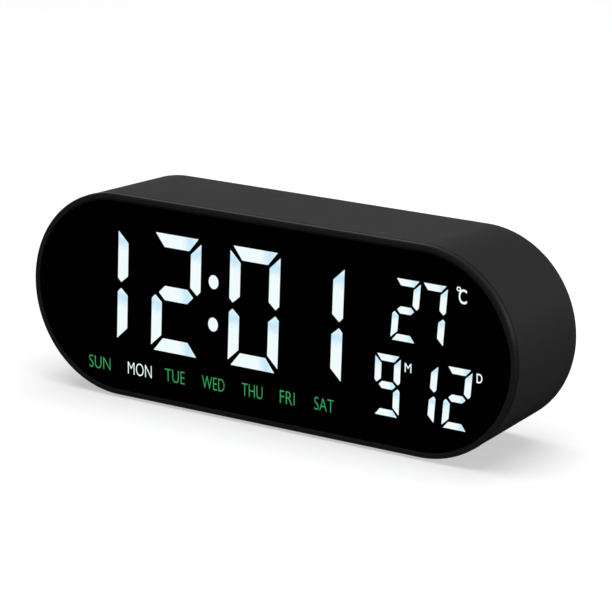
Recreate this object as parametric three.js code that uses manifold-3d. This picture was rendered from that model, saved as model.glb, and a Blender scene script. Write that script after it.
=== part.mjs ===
// A pill-shaped desk alarm clock: an LED display behind a black lens, a moulded cup
// housing, five keys, a battery bay with a hinged door, and the boards inside it.
// Millimetres, +Z up. The display faces -Y, and the keys and the door are on the +Y side.
import * as THREE from "three";
import { mergeVertices } from "three/addons/utils/BufferGeometryUtils.js";
import Module from "manifold-3d";

const wasm = await Module();
wasm.setup();

// ---------------------------------------------------------------- driving sizes
// Outer body. The outline is a stadium: straight top and bottom, half-round ends.
const BODY_WIDTH = 160;
const BODY_HEIGHT = 58.8;
const BODY_DEPTH = 35.4;
const DRAFT = 1.45; // how much the outline's radius shrinks from front to back
const FOOT_PROUD = 0.8; // below the front frame
const ARC_SEGMENTS = 8; // per quarter turn of the outline

// Clearances
const GAP = 0.3; // between pieces that seat on each other
const SLIP = 0.15; // beside a piece that drops into a pocket
const SOLDER = 0.1; // under a component on its board

// Front frame and lens
const RIM_WIDTH = 1.55;
const BAND_DEPTH = 1.75; // side of the frame that shows
const EDGE_BREAK = 0.35;
const PARTING = 0.5; // groove between frame and housing
const PARTING_FLOOR = 0.8; // how deep the groove is
const SPIGOT_LENGTH = 4;
const SPIGOT_WALL = 1.3;
const LENS_THICK = 1.2;
const LENS_RECESS = 0.15;

// Display stack
const FILM_THICK = 0.3;
const GUIDE_DEPTH = 7;
const DISPLAY_PCB = 1.6;
const LED_SIZE = 1.4;
const LED_HEIGHT = 0.6;

// Housing
const WALL = 1.8;
const REAR_WALL = 2;
const REAR_RECESS = 1.2; // the rear panel lies this far inside the rear rim
const REAR_RIM = 2.8;
const REAR_ROUND = 1.1;

// Rear screws, in wells at the round ends
const SCREW_OUT = 19; // past the end of the straight part
const SCREW_UP = 11;
const SCREW_SHANK = 2.5;
const SCREW_LENGTH = 9.6;
const SCREW_HEAD = 4.8;
const SCREW_HEAD_HEIGHT = 1.8;
const SCREW_PLAY = 0.2; // radial, round a shank
const WELL_FLOOR = 2;
const WELL_WALL = 1.2;
const BOSS_RADIUS = 2.4;
const BOSS_END = 16; // depth where the frame's boss meets the housing's post

// Batteries: AAA cells
const CELL_LENGTH = 44.5;
const CELL_DIAMETER = 10.5;
const CELL_NUB = 1;
const CELL_NUB_DIAMETER = 3.8;
const CELL_COUNT = 3;
const CELL_SPACE = 0.7;
const SPRING_LENGTH = 5.6;
const SPRING_WIRE = 0.6;
const CONTACT_THICK = 0.4;
const CONTACT_WIDTH = 8;
const BAY_RIGHT = -2; // x of the bay's right wall
const BAY_WALL = 1.2;
const DOOR_THICK = 1.6;
const DOOR_LAP = 2.5; // how far the door lies over the bay's edge
const DOOR_SEAT = 1.65; // ledge under the door's edge
const TAB_THICK = 1.2;
const TAB_REACH = 1.55; // under the lip, past the hinge line
const TAB_WIDTH = 7;
const FINGER_WIDTH = 14;
const FINGER_REACH = 3;
const RIB_COUNT = 5;
const RIB_HEIGHT = 0.35;

// Keys and their switches
const KEY_COUNT = 5;
const KEY_PITCH = 11;
const KEY_ROW = 5.5; // above the middle
const KEY_DIAMETER = 7;
const KEY_PROUD = 0.8;
const KEY_FLANGE = 0.8;
const KEY_FLANGE_LAP = 0.9;
const KEY_STEM = 3;
const KEY_STEM_LENGTH = 0.95;
const KEY_TRAVEL = 0.5;
const SWITCH_SIZE = 6;
const SWITCH_HEIGHT = 3.5;
const PLUNGER_DIAMETER = 3.4;
const PLUNGER_LENGTH = 1.9;
const PLUNGER_SHOWS = 1.1;

// Main board
const BOARD_THICK = 1.6;
const BOARD_HEIGHT = 34;
const BOARD_SCREW_IN = 3.5; // from the board's edges
const BOARD_SCREW_SHANK = 1.8;
const BOARD_SCREW_HEAD = 3.6;
const BOARD_BOSS = 2.6;
const LOW_ROW = -9; // middle line of the socket, the buzzer and the sensor
const USB_WIDTH = 9;
const USB_HEIGHT = 3.3;
const USB_SKIN = 0.35;
const USB_SET_BACK = 0.4; // of its mouth, from the rear panel
const BUZZER_DIAMETER = 12;
const BUZZER_HEIGHT = 5.5;
const RIBBON_WIDTH = 10;
const RIBBON_THICK = 0.8;
const RIBBON_STEPS = 10;
const CONNECTOR_HEIGHT = 2.5;
const SLOT_WIDTH = 1.2;
const SLOT_LENGTH = 7;
const SLOT_PITCH = 2.4;

// Feet
const FOOT_DIAMETER = 9;
const FOOT_SINK = 1;
const FOOT_FROM_END = 8; // from the end of the straight part
const FOOT_FRONT = 8; // depth of the front pair
const FOOT_REAR = 28;

// ---------------------------------------------------------------- worked-out sizes
const END_RADIUS = BODY_HEIGHT / 2;
const STRAIGHT = (BODY_WIDTH - BODY_HEIGHT) / 2;
const outerRadius = (depth) => END_RADIUS - (DRAFT * depth) / BODY_DEPTH;

const lensRadius = END_RADIUS - RIM_WIDTH - SLIP;
const ledgeDepth = LENS_RECESS + LENS_THICK + SOLDER;
const housingFront = BAND_DEPTH + PARTING;
const housingRadius = outerRadius(housingFront) - WALL;
const spigotRadius = housingRadius - GAP;
const clearRadius = spigotRadius - SPIGOT_WALL; // of the opening behind the lens
const stackRadius = clearRadius - GAP;

const filmFront = LENS_RECESS + LENS_THICK + GAP;
const guideFront = filmFront + FILM_THICK + GAP;
const guideBack = guideFront + GUIDE_DEPTH;
const displayFront = guideBack + GAP;
const displayBack = displayFront + DISPLAY_PCB;

const panelDepth = BODY_DEPTH - REAR_RECESS; // outer face of the rear panel
const panelFront = panelDepth - REAR_WALL;
const screwX = STRAIGHT + SCREW_OUT;
const wellRadius = SCREW_HEAD / 2 + GAP;
const postRadius = wellRadius + WELL_WALL;
const postFront = BOSS_END + GAP;
const wellBottom = postFront + WELL_FLOOR;

const cellPitch = CELL_DIAMETER + CELL_SPACE;
const cellRow = (i) => (i - (CELL_COUNT - 1) / 2) * cellPitch;
const bayLength = CELL_LENGTH + SPRING_LENGTH + 2 * CONTACT_THICK + 4 * GAP;
const bayLeft = BAY_RIGHT - bayLength;
const bayMiddle = (bayLeft + BAY_RIGHT) / 2;
const bayHalf = (CELL_COUNT * cellPitch) / 2 + SLIP;
const doorFront = panelDepth - DOOR_THICK;
const cellDepth = doorFront - 0.5 - CELL_DIAMETER / 2;
const bayBottom = cellDepth - CELL_DIAMETER / 2 - GAP;
const doorHalfLength = bayLength / 2 + DOOR_LAP;
const doorHalfHeight = bayHalf + DOOR_LAP;
const hingeUp = doorHalfHeight + SLIP; // the hinge line, on the rear panel's face
const seatDepth = doorFront - SLIP;

const boardLeft = bayMiddle + doorHalfLength + SLIP + 1 + 1.5;
const boardRight = screwX - postRadius - 0.8;
const boardMiddle = (boardLeft + boardRight) / 2;
const keyX = (i) => boardMiddle + (i - (KEY_COUNT - 1) / 2) * KEY_PITCH;
const keyFlangeBack = panelFront - SLIP;
const keyFlangeFront = keyFlangeBack - KEY_FLANGE;
const stemFront = keyFlangeFront - KEY_STEM_LENGTH;
const plungerBack = stemFront - SOLDER;
const switchBack = plungerBack - PLUNGER_SHOWS;
const boardBack = switchBack - SWITCH_HEIGHT - SOLDER;
const boardFront = boardBack - BOARD_THICK;
const socketX = boardRight - 12;
const buzzerX = boardLeft + 12;
const sensorX = boardLeft + 29;

// ---------------------------------------------------------------- finishes
const finish = (color, roughness, metalness = 0) =>
  new THREE.MeshStandardMaterial({ color, roughness, metalness });
const SHELL = finish(0x1d1d1e, 0.62);
const FRAME = finish(0x151516, 0.45);
const LENS = finish(0x040405, 0.06);
const DIFFUSER = finish(0xdfe3e4, 0.8);
const GUIDE = finish(0xe9e9e4, 0.6);
const LAMINATE = finish(0x1d5a3a, 0.5);
const CHIP = finish(0x131313, 0.5);
const NICKEL = finish(0xb9b9b4, 0.35, 1);
const SCREW_STEEL = finish(0x8d8e90, 0.4, 1);
const RUBBER = finish(0x101010, 0.9);
const CELL_JACKET = finish(0x2c6a9c, 0.4);
const RIBBON = finish(0xb9b9b6, 0.6);
const WIRE_RED = finish(0xa81f1b, 0.5);
const WIRE_BLACK = finish(0x161616, 0.5);
const CAPACITOR = finish(0x1f2a4a, 0.45);

// ---------------------------------------------------------------- shapes and solids
const clock = new THREE.Group();
// Everything below is placed from the middle of the front face: x right, y into the body, z up.
const works = new THREE.Group();
works.position.set(0, -BODY_DEPTH / 2, FOOT_PROUD + END_RADIUS);
clock.add(works);

function toSolid(geometry) {
  const bare = geometry.index ? geometry.toNonIndexed() : geometry.clone();
  bare.deleteAttribute("normal");
  bare.deleteAttribute("uv");
  const merged = mergeVertices(bare, 1e-4);
  return new wasm.Manifold(
    new wasm.Mesh({
      numProp: 3,
      vertProperties: merged.attributes.position.array,
      triVerts: new Uint32Array(merged.index.array),
    }),
  );
}

function toGeometry(solid) {
  const mesh = solid.getMesh();
  const geometry = new THREE.BufferGeometry();
  geometry.setAttribute("position", new THREE.BufferAttribute(mesh.vertProperties, 3));
  geometry.setIndex(new THREE.BufferAttribute(mesh.triVerts, 1));
  geometry.computeVertexNormals();
  return geometry;
}

const join = (first, ...others) => others.reduce((a, b) => a.add(b), first);
const cut = (first, ...others) => others.reduce((a, b) => a.subtract(b), first);

function addNode(name, shape, material, place = [0, 0, 0]) {
  const geometry = shape.isBufferGeometry ? shape : toGeometry(shape);
  const mesh = new THREE.Mesh(geometry, material);
  mesh.name = name;
  mesh.position.set(...place);
  works.add(mesh);
}

// The stadium of a given radius round the body's straight middle.
function stadium(radius, straight = STRAIGHT) {
  const shape = new THREE.Shape();
  shape.moveTo(-straight, -radius);
  shape.lineTo(straight, -radius);
  shape.absarc(straight, 0, radius, -Math.PI / 2, Math.PI / 2, false);
  shape.lineTo(-straight, radius);
  shape.absarc(-straight, 0, radius, Math.PI / 2, (3 * Math.PI) / 2, false);
  return shape;
}

// A flat shape, drawn in x and z, given thickness from one depth to another.
function plate(shape, front, back, curveSegments = ARC_SEGMENTS) {
  const geometry = new THREE.ExtrudeGeometry(shape, {
    depth: back - front,
    bevelEnabled: false,
    curveSegments,
  });
  geometry.rotateX(Math.PI / 2);
  return geometry.translate(0, back, 0);
}

// A stadium whose radius changes with depth: stations are [depth, radius], front to back.
function stadiumSolid(stations) {
  const geometry = new THREE.ExtrudeGeometry(stadium(1), {
    depth: stations.length - 1,
    steps: stations.length - 1,
    bevelEnabled: false,
    curveSegments: ARC_SEGMENTS,
  });
  geometry.rotateX(Math.PI / 2);
  const at = geometry.attributes.position;
  for (let i = 0; i < at.count; i++) {
    const [depth, radius] = stations[stations.length - 1 + Math.round(at.getY(i))];
    const middle = THREE.MathUtils.clamp(at.getX(i), -STRAIGHT, STRAIGHT);
    const out = at.getX(i) - middle;
    at.setXYZ(i, middle + out * radius, depth, at.getZ(i) * radius);
  }
  return toSolid(geometry);
}

function block(x0, x1, y0, y1, z0, z1) {
  const geometry = new THREE.BoxGeometry(x1 - x0, y1 - y0, z1 - z0);
  return geometry.translate((x0 + x1) / 2, (y0 + y1) / 2, (z0 + z1) / 2);
}
const solidBlock = (...sides) => toSolid(block(...sides));

// A round bar along the depth.
function bar(x, z, radius, front, back, sides = 16) {
  const geometry = new THREE.CylinderGeometry(radius, radius, back - front, sides);
  return geometry.translate(x, (front + back) / 2, z);
}
const solidBar = (...sizes) => toSolid(bar(...sizes));

// A turned piece along the depth: profile points are [radius, depth], front to back.
function turned(profile, sides = 16) {
  return new THREE.LatheGeometry(
    profile.map(([radius, depth]) => new THREE.Vector2(radius, depth)),
    sides,
  );
}

function slot(x, z, width, length) {
  const r = width / 2;
  const h = length / 2 - r;
  const shape = new THREE.Shape();
  shape.absarc(x, z + h, r, 0, Math.PI, false);
  shape.absarc(x, z - h, r, Math.PI, 2 * Math.PI, false);
  return shape;
}

function flatPill(x, z, width, height) {
  const r = height / 2;
  const h = width / 2 - r;
  const shape = new THREE.Shape();
  shape.absarc(x + h, z, r, -Math.PI / 2, Math.PI / 2, false);
  shape.absarc(x - h, z, r, Math.PI / 2, (3 * Math.PI) / 2, false);
  return shape;
}

// The four screw places, numbered from the lower left as seen from the front.
const screwPlaces = [];
for (const z of [-SCREW_UP, SCREW_UP])
  for (const x of [-screwX, screwX]) screwPlaces.push([x, z]);

// ---------------------------------------------------------------- front frame and lens
function frontFrame() {
  const band = stadiumSolid([
    [0, END_RADIUS - EDGE_BREAK],
    [EDGE_BREAK, END_RADIUS],
    [BAND_DEPTH, END_RADIUS],
  ]);
  const shoulder = stadiumSolid([
    [BAND_DEPTH - 0.1, END_RADIUS - PARTING_FLOOR],
    [housingFront - SOLDER, END_RADIUS - PARTING_FLOOR],
  ]);
  const spigot = stadiumSolid([
    [BAND_DEPTH - 0.1, spigotRadius],
    [BAND_DEPTH + SPIGOT_LENGTH, spigotRadius],
  ]);
  const pocket = stadiumSolid([
    [-1, lensRadius + SLIP],
    [ledgeDepth, lensRadius + SLIP],
  ]);
  const opening = stadiumSolid([
    [-1, clearRadius],
    [BAND_DEPTH + SPIGOT_LENGTH + 1, clearRadius],
  ]);
  const ring = cut(join(band, shoulder, spigot), pocket, opening);
  return cut(join(ring, ...screwPlaces.map(frameBoss)), ...screwPlaces.map(bossHole));
}

// A boss behind the lens ledge, with a web that ties it to the spigot.
function frameBoss([x, z]) {
  const side = Math.sign(x);
  const length = clearRadius - Math.hypot(SCREW_OUT, z) + SPIGOT_WALL / 2;
  const spigotBack = BAND_DEPTH + SPIGOT_LENGTH;
  const web = new THREE.BoxGeometry(length, spigotBack - guideFront, 1.6);
  web.translate(length / 2, (guideFront + spigotBack) / 2, 0);
  web.rotateY(-Math.atan2(z, side * SCREW_OUT));
  web.translate(x, 0, z);
  return join(solidBar(x, z, BOSS_RADIUS, guideFront, BOSS_END), toSolid(web));
}

function bossHole([x, z]) {
  const tip = wellBottom + GAP - SCREW_LENGTH;
  return solidBar(x, z, SCREW_SHANK / 2 + SCREW_PLAY, tip - 1, BOSS_END + 1, 10);
}

function frontLens() {
  return stadiumSolid([
    [LENS_RECESS, lensRadius - 0.2],
    [LENS_RECESS + 0.2, lensRadius],
    [LENS_RECESS + LENS_THICK, lensRadius],
  ]);
}

// ---------------------------------------------------------------- display artwork
// The artwork is drawn on a grid the size of the lens, and is fitted to the lens.
const GRID_WIDTH = 160;
const GRID_HEIGHT = 58.8;
const fitX = BODY_WIDTH / GRID_WIDTH;
const fitZ = BODY_HEIGHT / GRID_HEIGHT;

const BIG = {
  width: 16.7,
  height: 34.3,
  upright: 3.5,
  level: 3.85,
  corner: 1.37,
  middle: 0.86,
  lean: 2.2,
};
const SMALL = { width: 8.05, height: 17.2, upright: 2, level: 1.85, corner: 0.72, middle: 0.55 };
const LEANING = { ...SMALL, lean: 4.9 };
const STEADY = { ...SMALL, lean: 2.2 };
// Each digit: its style, the lower left corner of its cell, and the segments that it has.
const DIGITS = [
  [BIG, -50.67, -13.91, "ef"],
  [BIG, -38.66, -13.91, "abcdefg"],
  [BIG, -12.13, -13.91, "abcdefg"],
  [BIG, 8.68, -13.91, "abcdefg"],
  [LEANING, 41.23, 2.02, "abcdefg"],
  [LEANING, 49.58, 2.02, "abcdefg"],
  [STEADY, 27.63, -19.62, "bc"],
  [STEADY, 35.98, -19.62, "abcdefg"],
  [LEANING, 46.93, -19.62, "abcdeg"],
  [LEANING, 57.48, -19.62, "abcdefg"],
];
const COLON = [
  [-16.69, 8.93],
  [-16.99, -3.29],
];
const COLON_RADII = [1.65, 2];
const DAY_ROW = -20.5;
const DAY_PLACES = [-57.12, -43.05, -29.58, -16.31, -3.14, 8.72, 20.17];
const DAY_WINDOW = [7.8, 3.8];
const WINDOW_SEGMENTS = 7;
// Degree sign, month letter and day letter: centre and size of each window.
const LETTER_WINDOWS = [
  [63.63, 17.55, 4.4, 5.4],
  [46.99, -4.99, 1.9, 3.4],
  [69.12, -4.29, 2.6, 3.4],
];

// The outline of one segment of a seven-segment digit, in the digit's own cell.
function segmentOutline(letter, d) {
  const half = d.height / 2;
  const inset = 0.73 * d.corner;
  const mitre = inset + 0.8 * d.level;
  const tip = 0.69 * d.upright;
  const rise = 0.54 * d.level;
  const upright = [
    [0, d.height - d.corner],
    [d.upright, d.height - d.corner - 0.94 * d.upright],
    [d.upright, half + d.middle + 0.56 * d.upright],
    [d.upright / 3, half + d.middle],
    [0, half + d.middle + d.upright / 3],
  ];
  const level = [
    [inset, d.height],
    [mitre, d.height - d.level],
    [d.width - mitre, d.height - d.level],
    [d.width - inset, d.height],
  ];
  const middle = [
    [tip, half],
    [tip + rise, half - rise],
    [d.width - tip - rise, half - rise],
    [d.width - tip, half],
    [d.width - tip - rise, half + rise],
    [tip + rise, half + rise],
  ];
  const across = ([x, z]) => [d.width - x, z];
  const down = ([x, z]) => [x, d.height - z];
  const outlines = {
    a: level,
    b: upright.map(across),
    c: upright.map(across).map(down),
    d: level.map(down),
    e: upright.map(down),
    f: upright,
    g: middle,
  };
  return outlines[letter];
}

function windowShape(points) {
  return new THREE.Shape(points.map(([x, z]) => new THREE.Vector2(x * fitX, z * fitZ)));
}

function rectangleWindow([x, z, width, height]) {
  return windowShape([
    [x - width / 2, z - height / 2],
    [x + width / 2, z - height / 2],
    [x + width / 2, z + height / 2],
    [x - width / 2, z + height / 2],
  ]);
}

function digitWindows([style, x, z, letters]) {
  const slope = Math.tan(THREE.MathUtils.degToRad(style.lean));
  return [...letters].map((letter) =>
    windowShape(segmentOutline(letter, style).map(([u, v]) => [x + u + slope * v, z + v])),
  );
}

const colonWindow = ([x, z]) =>
  new THREE.Shape().absellipse(x * fitX, z * fitZ, ...COLON_RADII, 0, 2 * Math.PI);
const dayWindow = (x) => rectangleWindow([x, DAY_ROW, ...DAY_WINDOW]);

// Light guide and display board share one outline, cut away round the frame's bosses.
function bossRooms(front, back) {
  const [x0, x1] = [screwX - BOSS_RADIUS - 0.9, BODY_WIDTH];
  const [z0, z1] = [SCREW_UP - BOSS_RADIUS - 0.6, BODY_HEIGHT];
  return [
    solidBlock(x0, x1, front - 1, back + 1, z0, z1),
    solidBlock(x0, x1, front - 1, back + 1, -z1, -z0),
    solidBlock(-x1, -x0, front - 1, back + 1, z0, z1),
    solidBlock(-x1, -x0, front - 1, back + 1, -z1, -z0),
  ];
}

function lightGuide() {
  const windows = [
    ...DIGITS.flatMap(digitWindows),
    ...COLON.map(colonWindow),
    ...DAY_PLACES.map(dayWindow),
    ...LETTER_WINDOWS.map(rectangleWindow),
  ];
  const whole = toSolid(plate(stadium(stackRadius), guideFront, guideBack, WINDOW_SEGMENTS));
  const through = windows.map((shape) => toSolid(plate(shape, guideFront - 1, guideBack + 1, 5)));
  return cut(whole, ...through, ...bossRooms(guideFront, guideBack));
}

// One light-emitting chip stands behind the middle of each big segment, dot and day.
function displayBoard() {
  const board = toSolid(plate(stadium(stackRadius), displayFront, displayBack, WINDOW_SEGMENTS));
  const places = [...COLON, ...DAY_PLACES.map((x) => [x, DAY_ROW])];
  for (const [style, x, z, letters] of DIGITS.filter(([style]) => style === BIG))
    for (const letter of letters) {
      const points = segmentOutline(letter, style);
      const sum = points.reduce(([u, v], [a, b]) => [u + a, v + b], [0, 0]);
      places.push([x + sum[0] / points.length, z + sum[1] / points.length]);
    }
  const half = LED_SIZE / 2;
  const chips = places.map(([u, v]) => {
    const [x, z] = [u * fitX, v * fitZ];
    const front = displayFront - LED_HEIGHT;
    return solidBlock(x - half, x + half, front, displayFront + 0.1, z - half, z + half);
  });
  return join(cut(board, ...bossRooms(displayFront, displayBack)), ...chips);
}

// ---------------------------------------------------------------- housing
const feetPlaces = [];
for (const depth of [FOOT_FRONT, FOOT_REAR])
  for (const side of [-1, 1]) feetPlaces.push([side * (STRAIGHT - FOOT_FROM_END), depth]);
const footTop = (depth) => -(outerRadius(depth) - FOOT_SINK);

function upright(x, y, radius, z0, z1, sides) {
  const geometry = new THREE.CylinderGeometry(radius, radius, z1 - z0, sides);
  return geometry.rotateX(Math.PI / 2).translate(x, y, (z0 + z1) / 2);
}

const boardScrews = [];
for (const z of [-1, 1])
  for (const x of [boardLeft + BOARD_SCREW_IN, boardRight - BOARD_SCREW_IN])
    boardScrews.push([x, z * (BOARD_HEIGHT / 2 - BOARD_SCREW_IN)]);

function slotRow(x, z, count) {
  const slots = [];
  for (let i = 0; i < count; i++) {
    const shape = slot(x + (i - (count - 1) / 2) * SLOT_PITCH, z, SLOT_WIDTH, SLOT_LENGTH);
    slots.push(toSolid(plate(shape, panelFront - 1, panelDepth + 1, 2)));
  }
  return slots;
}

// The cup: a drafted outside, a wall all round, and a panel set inside the rear rim.
function cup() {
  const rearRadius = outerRadius(BODY_DEPTH);
  const outside = stadiumSolid([
    [housingFront, outerRadius(housingFront) - EDGE_BREAK / 2],
    [housingFront + EDGE_BREAK / 2, outerRadius(housingFront + EDGE_BREAK / 2)],
    [BODY_DEPTH - REAR_ROUND, outerRadius(BODY_DEPTH - REAR_ROUND)],
    [BODY_DEPTH - 0.3 * REAR_ROUND, rearRadius - 0.3 * REAR_ROUND],
    [BODY_DEPTH, rearRadius - REAR_ROUND],
  ]);
  const inside = stadiumSolid([
    [0, outerRadius(0) - WALL],
    [panelFront, outerRadius(panelFront) - WALL],
  ]);
  const rearRecess = stadiumSolid([
    [panelDepth, rearRadius - REAR_RIM],
    [BODY_DEPTH + 1, rearRadius - REAR_RIM],
  ]);
  return cut(outside, inside, rearRecess);
}

// The battery bay's walls and the thick rim that the door rests on.
function bayWalls() {
  const [left, right] = [bayLeft - BAY_WALL, BAY_RIGHT + BAY_WALL];
  const high = bayHalf + BAY_WALL;
  const well = solidBlock(left, right, bayBottom - BAY_WALL, panelFront + 0.5, -high, high);
  const [rimX, rimZ] = [doorHalfLength + SLIP + 1, doorHalfHeight + SLIP + 1];
  const rimFront = seatDepth - DOOR_SEAT;
  const rim = block(-rimX, rimX, rimFront, panelFront + 0.5, -rimZ, rimZ);
  return join(well, toSolid(rim.translate(bayMiddle, 0, 0)));
}

const tabPlaces = [-1, 1].map((side) => bayMiddle + side * (doorHalfLength - 10));

function bayHollows() {
  const inner = [bayLeft, BAY_RIGHT, bayBottom, BODY_DEPTH, -bayHalf, bayHalf];
  const [recessX, recessZ] = [doorHalfLength + SLIP, doorHalfHeight + SLIP];
  const recess = block(-recessX, recessX, seatDepth, BODY_DEPTH, -recessZ, recessZ);
  const scoop = block(
    -FINGER_WIDTH / 2,
    FINGER_WIDTH / 2,
    panelDepth - 1.2,
    BODY_DEPTH,
    -recessZ - FINGER_REACH,
    -recessZ + 0.5,
  );
  // Each tab has a way through the door's seat, and a room under the panel's lip.
  const slots = tabPlaces.flatMap((x) => {
    const [x0, x1] = [x - TAB_WIDTH / 2 - 2 * GAP, x + TAB_WIDTH / 2 + 2 * GAP];
    const front = panelFront - 3.6;
    const reach = hingeUp + TAB_REACH + GAP;
    return [
      solidBlock(x0, x1, front, panelFront, bayHalf - 0.5, reach),
      solidBlock(x0, x1, front, seatDepth + 0.1, bayHalf - 0.5, hingeUp),
    ];
  });
  return [
    solidBlock(...inner),
    toSolid(recess.translate(bayMiddle, 0, 0)),
    toSolid(scoop.translate(bayMiddle, 0, 0)),
    ...slots,
  ];
}

function rearHousing() {
  const posts = screwPlaces.map(([x, z]) =>
    solidBar(x, z, postRadius, postFront, panelFront + 0.5),
  );
  const bosses = boardScrews.map(([x, z]) =>
    solidBar(x, z, BOARD_BOSS, boardBack + SOLDER, panelFront + 0.5, 12),
  );
  const wells = screwPlaces.flatMap(([x, z]) => [
    solidBar(x, z, wellRadius, wellBottom, BODY_DEPTH),
    solidBar(x, z, SCREW_SHANK / 2 + SCREW_PLAY, BOSS_END, BODY_DEPTH, 10),
  ]);
  const pilots = boardScrews.map(([x, z]) =>
    solidBar(x, z, BOARD_SCREW_SHANK / 2 + SCREW_PLAY, boardBack - 1, panelFront - 1, 8),
  );
  const keyHoles = [];
  for (let i = 0; i < KEY_COUNT; i++)
    keyHoles.push(solidBar(keyX(i), KEY_ROW, KEY_DIAMETER / 2 + GAP, panelFront - 1, BODY_DEPTH));
  const socketHole = plate(
    flatPill(socketX, LOW_ROW, USB_WIDTH + 2 * SLIP, USB_HEIGHT + 2 * SLIP),
    panelFront - 1,
    BODY_DEPTH,
    4,
  );
  const pockets = feetPlaces.map(([x, depth]) =>
    toSolid(upright(x, depth, FOOT_DIAMETER / 2 + SLIP, -BODY_HEIGHT, footTop(depth), 20)),
  );
  return cut(
    join(cup(), bayWalls(), ...posts, ...bosses),
    ...bayHollows(),
    ...wells,
    ...pilots,
    ...keyHoles,
    toSolid(socketHole),
    ...pockets,
    ...slotRow(buzzerX, LOW_ROW, 4),
    ...slotRow(sensorX, LOW_ROW, 3),
  );
}

// ---------------------------------------------------------------- batteries and door
// A cell lies along x: flat end, jacket, shoulder and nub. Every other one is turned round.
function cell(i) {
  const r = CELL_DIAMETER / 2;
  const geometry = turned(
    [
      [0, 0],
      [r - 0.6, 0],
      [r, 0.5],
      [r, CELL_LENGTH - CELL_NUB - 0.6],
      [r - 0.8, CELL_LENGTH - CELL_NUB],
      [CELL_NUB_DIAMETER / 2, CELL_LENGTH - CELL_NUB],
      [CELL_NUB_DIAMETER / 2, CELL_LENGTH],
      [0, CELL_LENGTH],
    ],
    16,
  );
  geometry.rotateZ(-Math.PI / 2);
  if (i % 2) geometry.rotateY(Math.PI);
  return geometry;
}

// Contacts: a flat plate at a cell's nub, and a wound spring at its flat end.
function contactPlate() {
  const half = CONTACT_WIDTH / 2;
  return block(0, CONTACT_THICK, -half, half, -half, half);
}

class ConeSpring extends THREE.Curve {
  getPoint(t) {
    const turn = 2 * Math.PI * 3.5 * t;
    const radius = 3.4 - 1.4 * t;
    const run = SPRING_LENGTH - SPRING_WIRE;
    return new THREE.Vector3(
      SPRING_WIRE / 2 + run * t,
      radius * Math.cos(turn),
      radius * Math.sin(turn),
    );
  }
}

function springContact() {
  const wire = new THREE.Shape().absarc(0, 0, SPRING_WIRE / 2, 0, 2 * Math.PI, false);
  const coil = new THREE.ExtrudeGeometry(wire, {
    steps: 30,
    curveSegments: 2,
    bevelEnabled: false,
    extrudePath: new ConeSpring(),
  });
  const base = contactPlate().translate(-CONTACT_THICK + 0.1, 0, 0);
  return join(toSolid(base), toSolid(coil));
}

// The door is drawn about its hinge line, and hangs below it.
function batteryDoor() {
  const high = 2 * doorHalfHeight;
  const skin = solidBlock(-doorHalfLength, doorHalfLength, -DOOR_THICK, 0, -SLIP - high, -SLIP);
  const tabBack = -REAR_WALL - 0.2;
  const tabs = tabPlaces.flatMap((place) => {
    const [x0, x1] = [place - bayMiddle - TAB_WIDTH / 2, place - bayMiddle + TAB_WIDTH / 2];
    return [
      solidBlock(x0, x1, tabBack - TAB_THICK, tabBack, -DOOR_LAP + 0.6, TAB_REACH),
      solidBlock(x0, x1, tabBack - TAB_THICK, -DOOR_THICK + 0.1, -DOOR_LAP + 0.6, -0.45),
    ];
  });
  const ribs = [];
  for (let i = 0; i < RIB_COUNT; i++) {
    const z = -SLIP - high + 3.2 + 1.6 * i;
    ribs.push(solidBlock(-5, 5, -RIB_HEIGHT, 1, z - 0.4, z + 0.4));
  }
  return cut(join(skin, ...tabs), ...ribs);
}

// ---------------------------------------------------------------- keys and switches
function key() {
  const r = KEY_DIAMETER / 2;
  const back = panelDepth + KEY_PROUD;
  return turned(
    [
      [0, stemFront],
      [KEY_STEM / 2, stemFront],
      [KEY_STEM / 2, keyFlangeFront],
      [r + KEY_FLANGE_LAP, keyFlangeFront],
      [r + KEY_FLANGE_LAP, keyFlangeBack],
      [r, keyFlangeBack],
      [r, back - 0.4],
      [r - 0.4, back],
      [0, back],
    ],
    16,
  );
}

const plungerFront = plungerBack - PLUNGER_LENGTH;

function tactSwitch() {
  const half = SWITCH_SIZE / 2;
  const base = solidBlock(-half, half, boardBack + SOLDER, switchBack, -half, half);
  const bore = PLUNGER_DIAMETER / 2 + SLIP;
  return cut(base, solidBar(0, 0, bore, plungerFront - KEY_TRAVEL - GAP, switchBack + 1, 10));
}

// ---------------------------------------------------------------- main board and its parts
function mainBoard() {
  const half = BOARD_HEIGHT / 2;
  const board = solidBlock(boardLeft, boardRight, boardFront, boardBack, -half, half);
  const holes = boardScrews.map(([x, z]) =>
    solidBar(x, z, BOARD_SCREW_SHANK / 2 + SCREW_PLAY, boardFront - 1, boardBack + 1, 10),
  );
  return cut(board, ...holes);
}

function screw(shankRadius, headRadius, headHeight, headFront, tip) {
  return turned(
    [
      [0, tip],
      [0.6 * shankRadius, tip],
      [shankRadius, tip + 1],
      [shankRadius, headFront],
      [headRadius, headFront],
      [headRadius, headFront + 0.6 * headHeight],
      [0.7 * headRadius, headFront + headHeight],
      [0, headFront + headHeight],
    ],
    12,
  );
}

// A screw driven in from the front: the same turning, facing the other way.
function boardScrew() {
  const headBack = boardFront - SOLDER;
  const geometry = screw(BOARD_SCREW_SHANK / 2, BOARD_SCREW_HEAD / 2, 1.3, 0, -BOARD_THICK - 4);
  return geometry.rotateX(Math.PI).translate(0, headBack, 0);
}

const socketBack = panelDepth - USB_SET_BACK;
const socketFront = boardBack + SOLDER;

function usbSocket() {
  const outside = plate(flatPill(0, 0, USB_WIDTH, USB_HEIGHT), socketFront, socketBack, 4);
  const mouth = flatPill(0, 0, USB_WIDTH - 2 * USB_SKIN, USB_HEIGHT - 2 * USB_SKIN);
  return cut(toSolid(outside), toSolid(plate(mouth, socketFront + 1.2, socketBack + 1, 4)));
}

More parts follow.
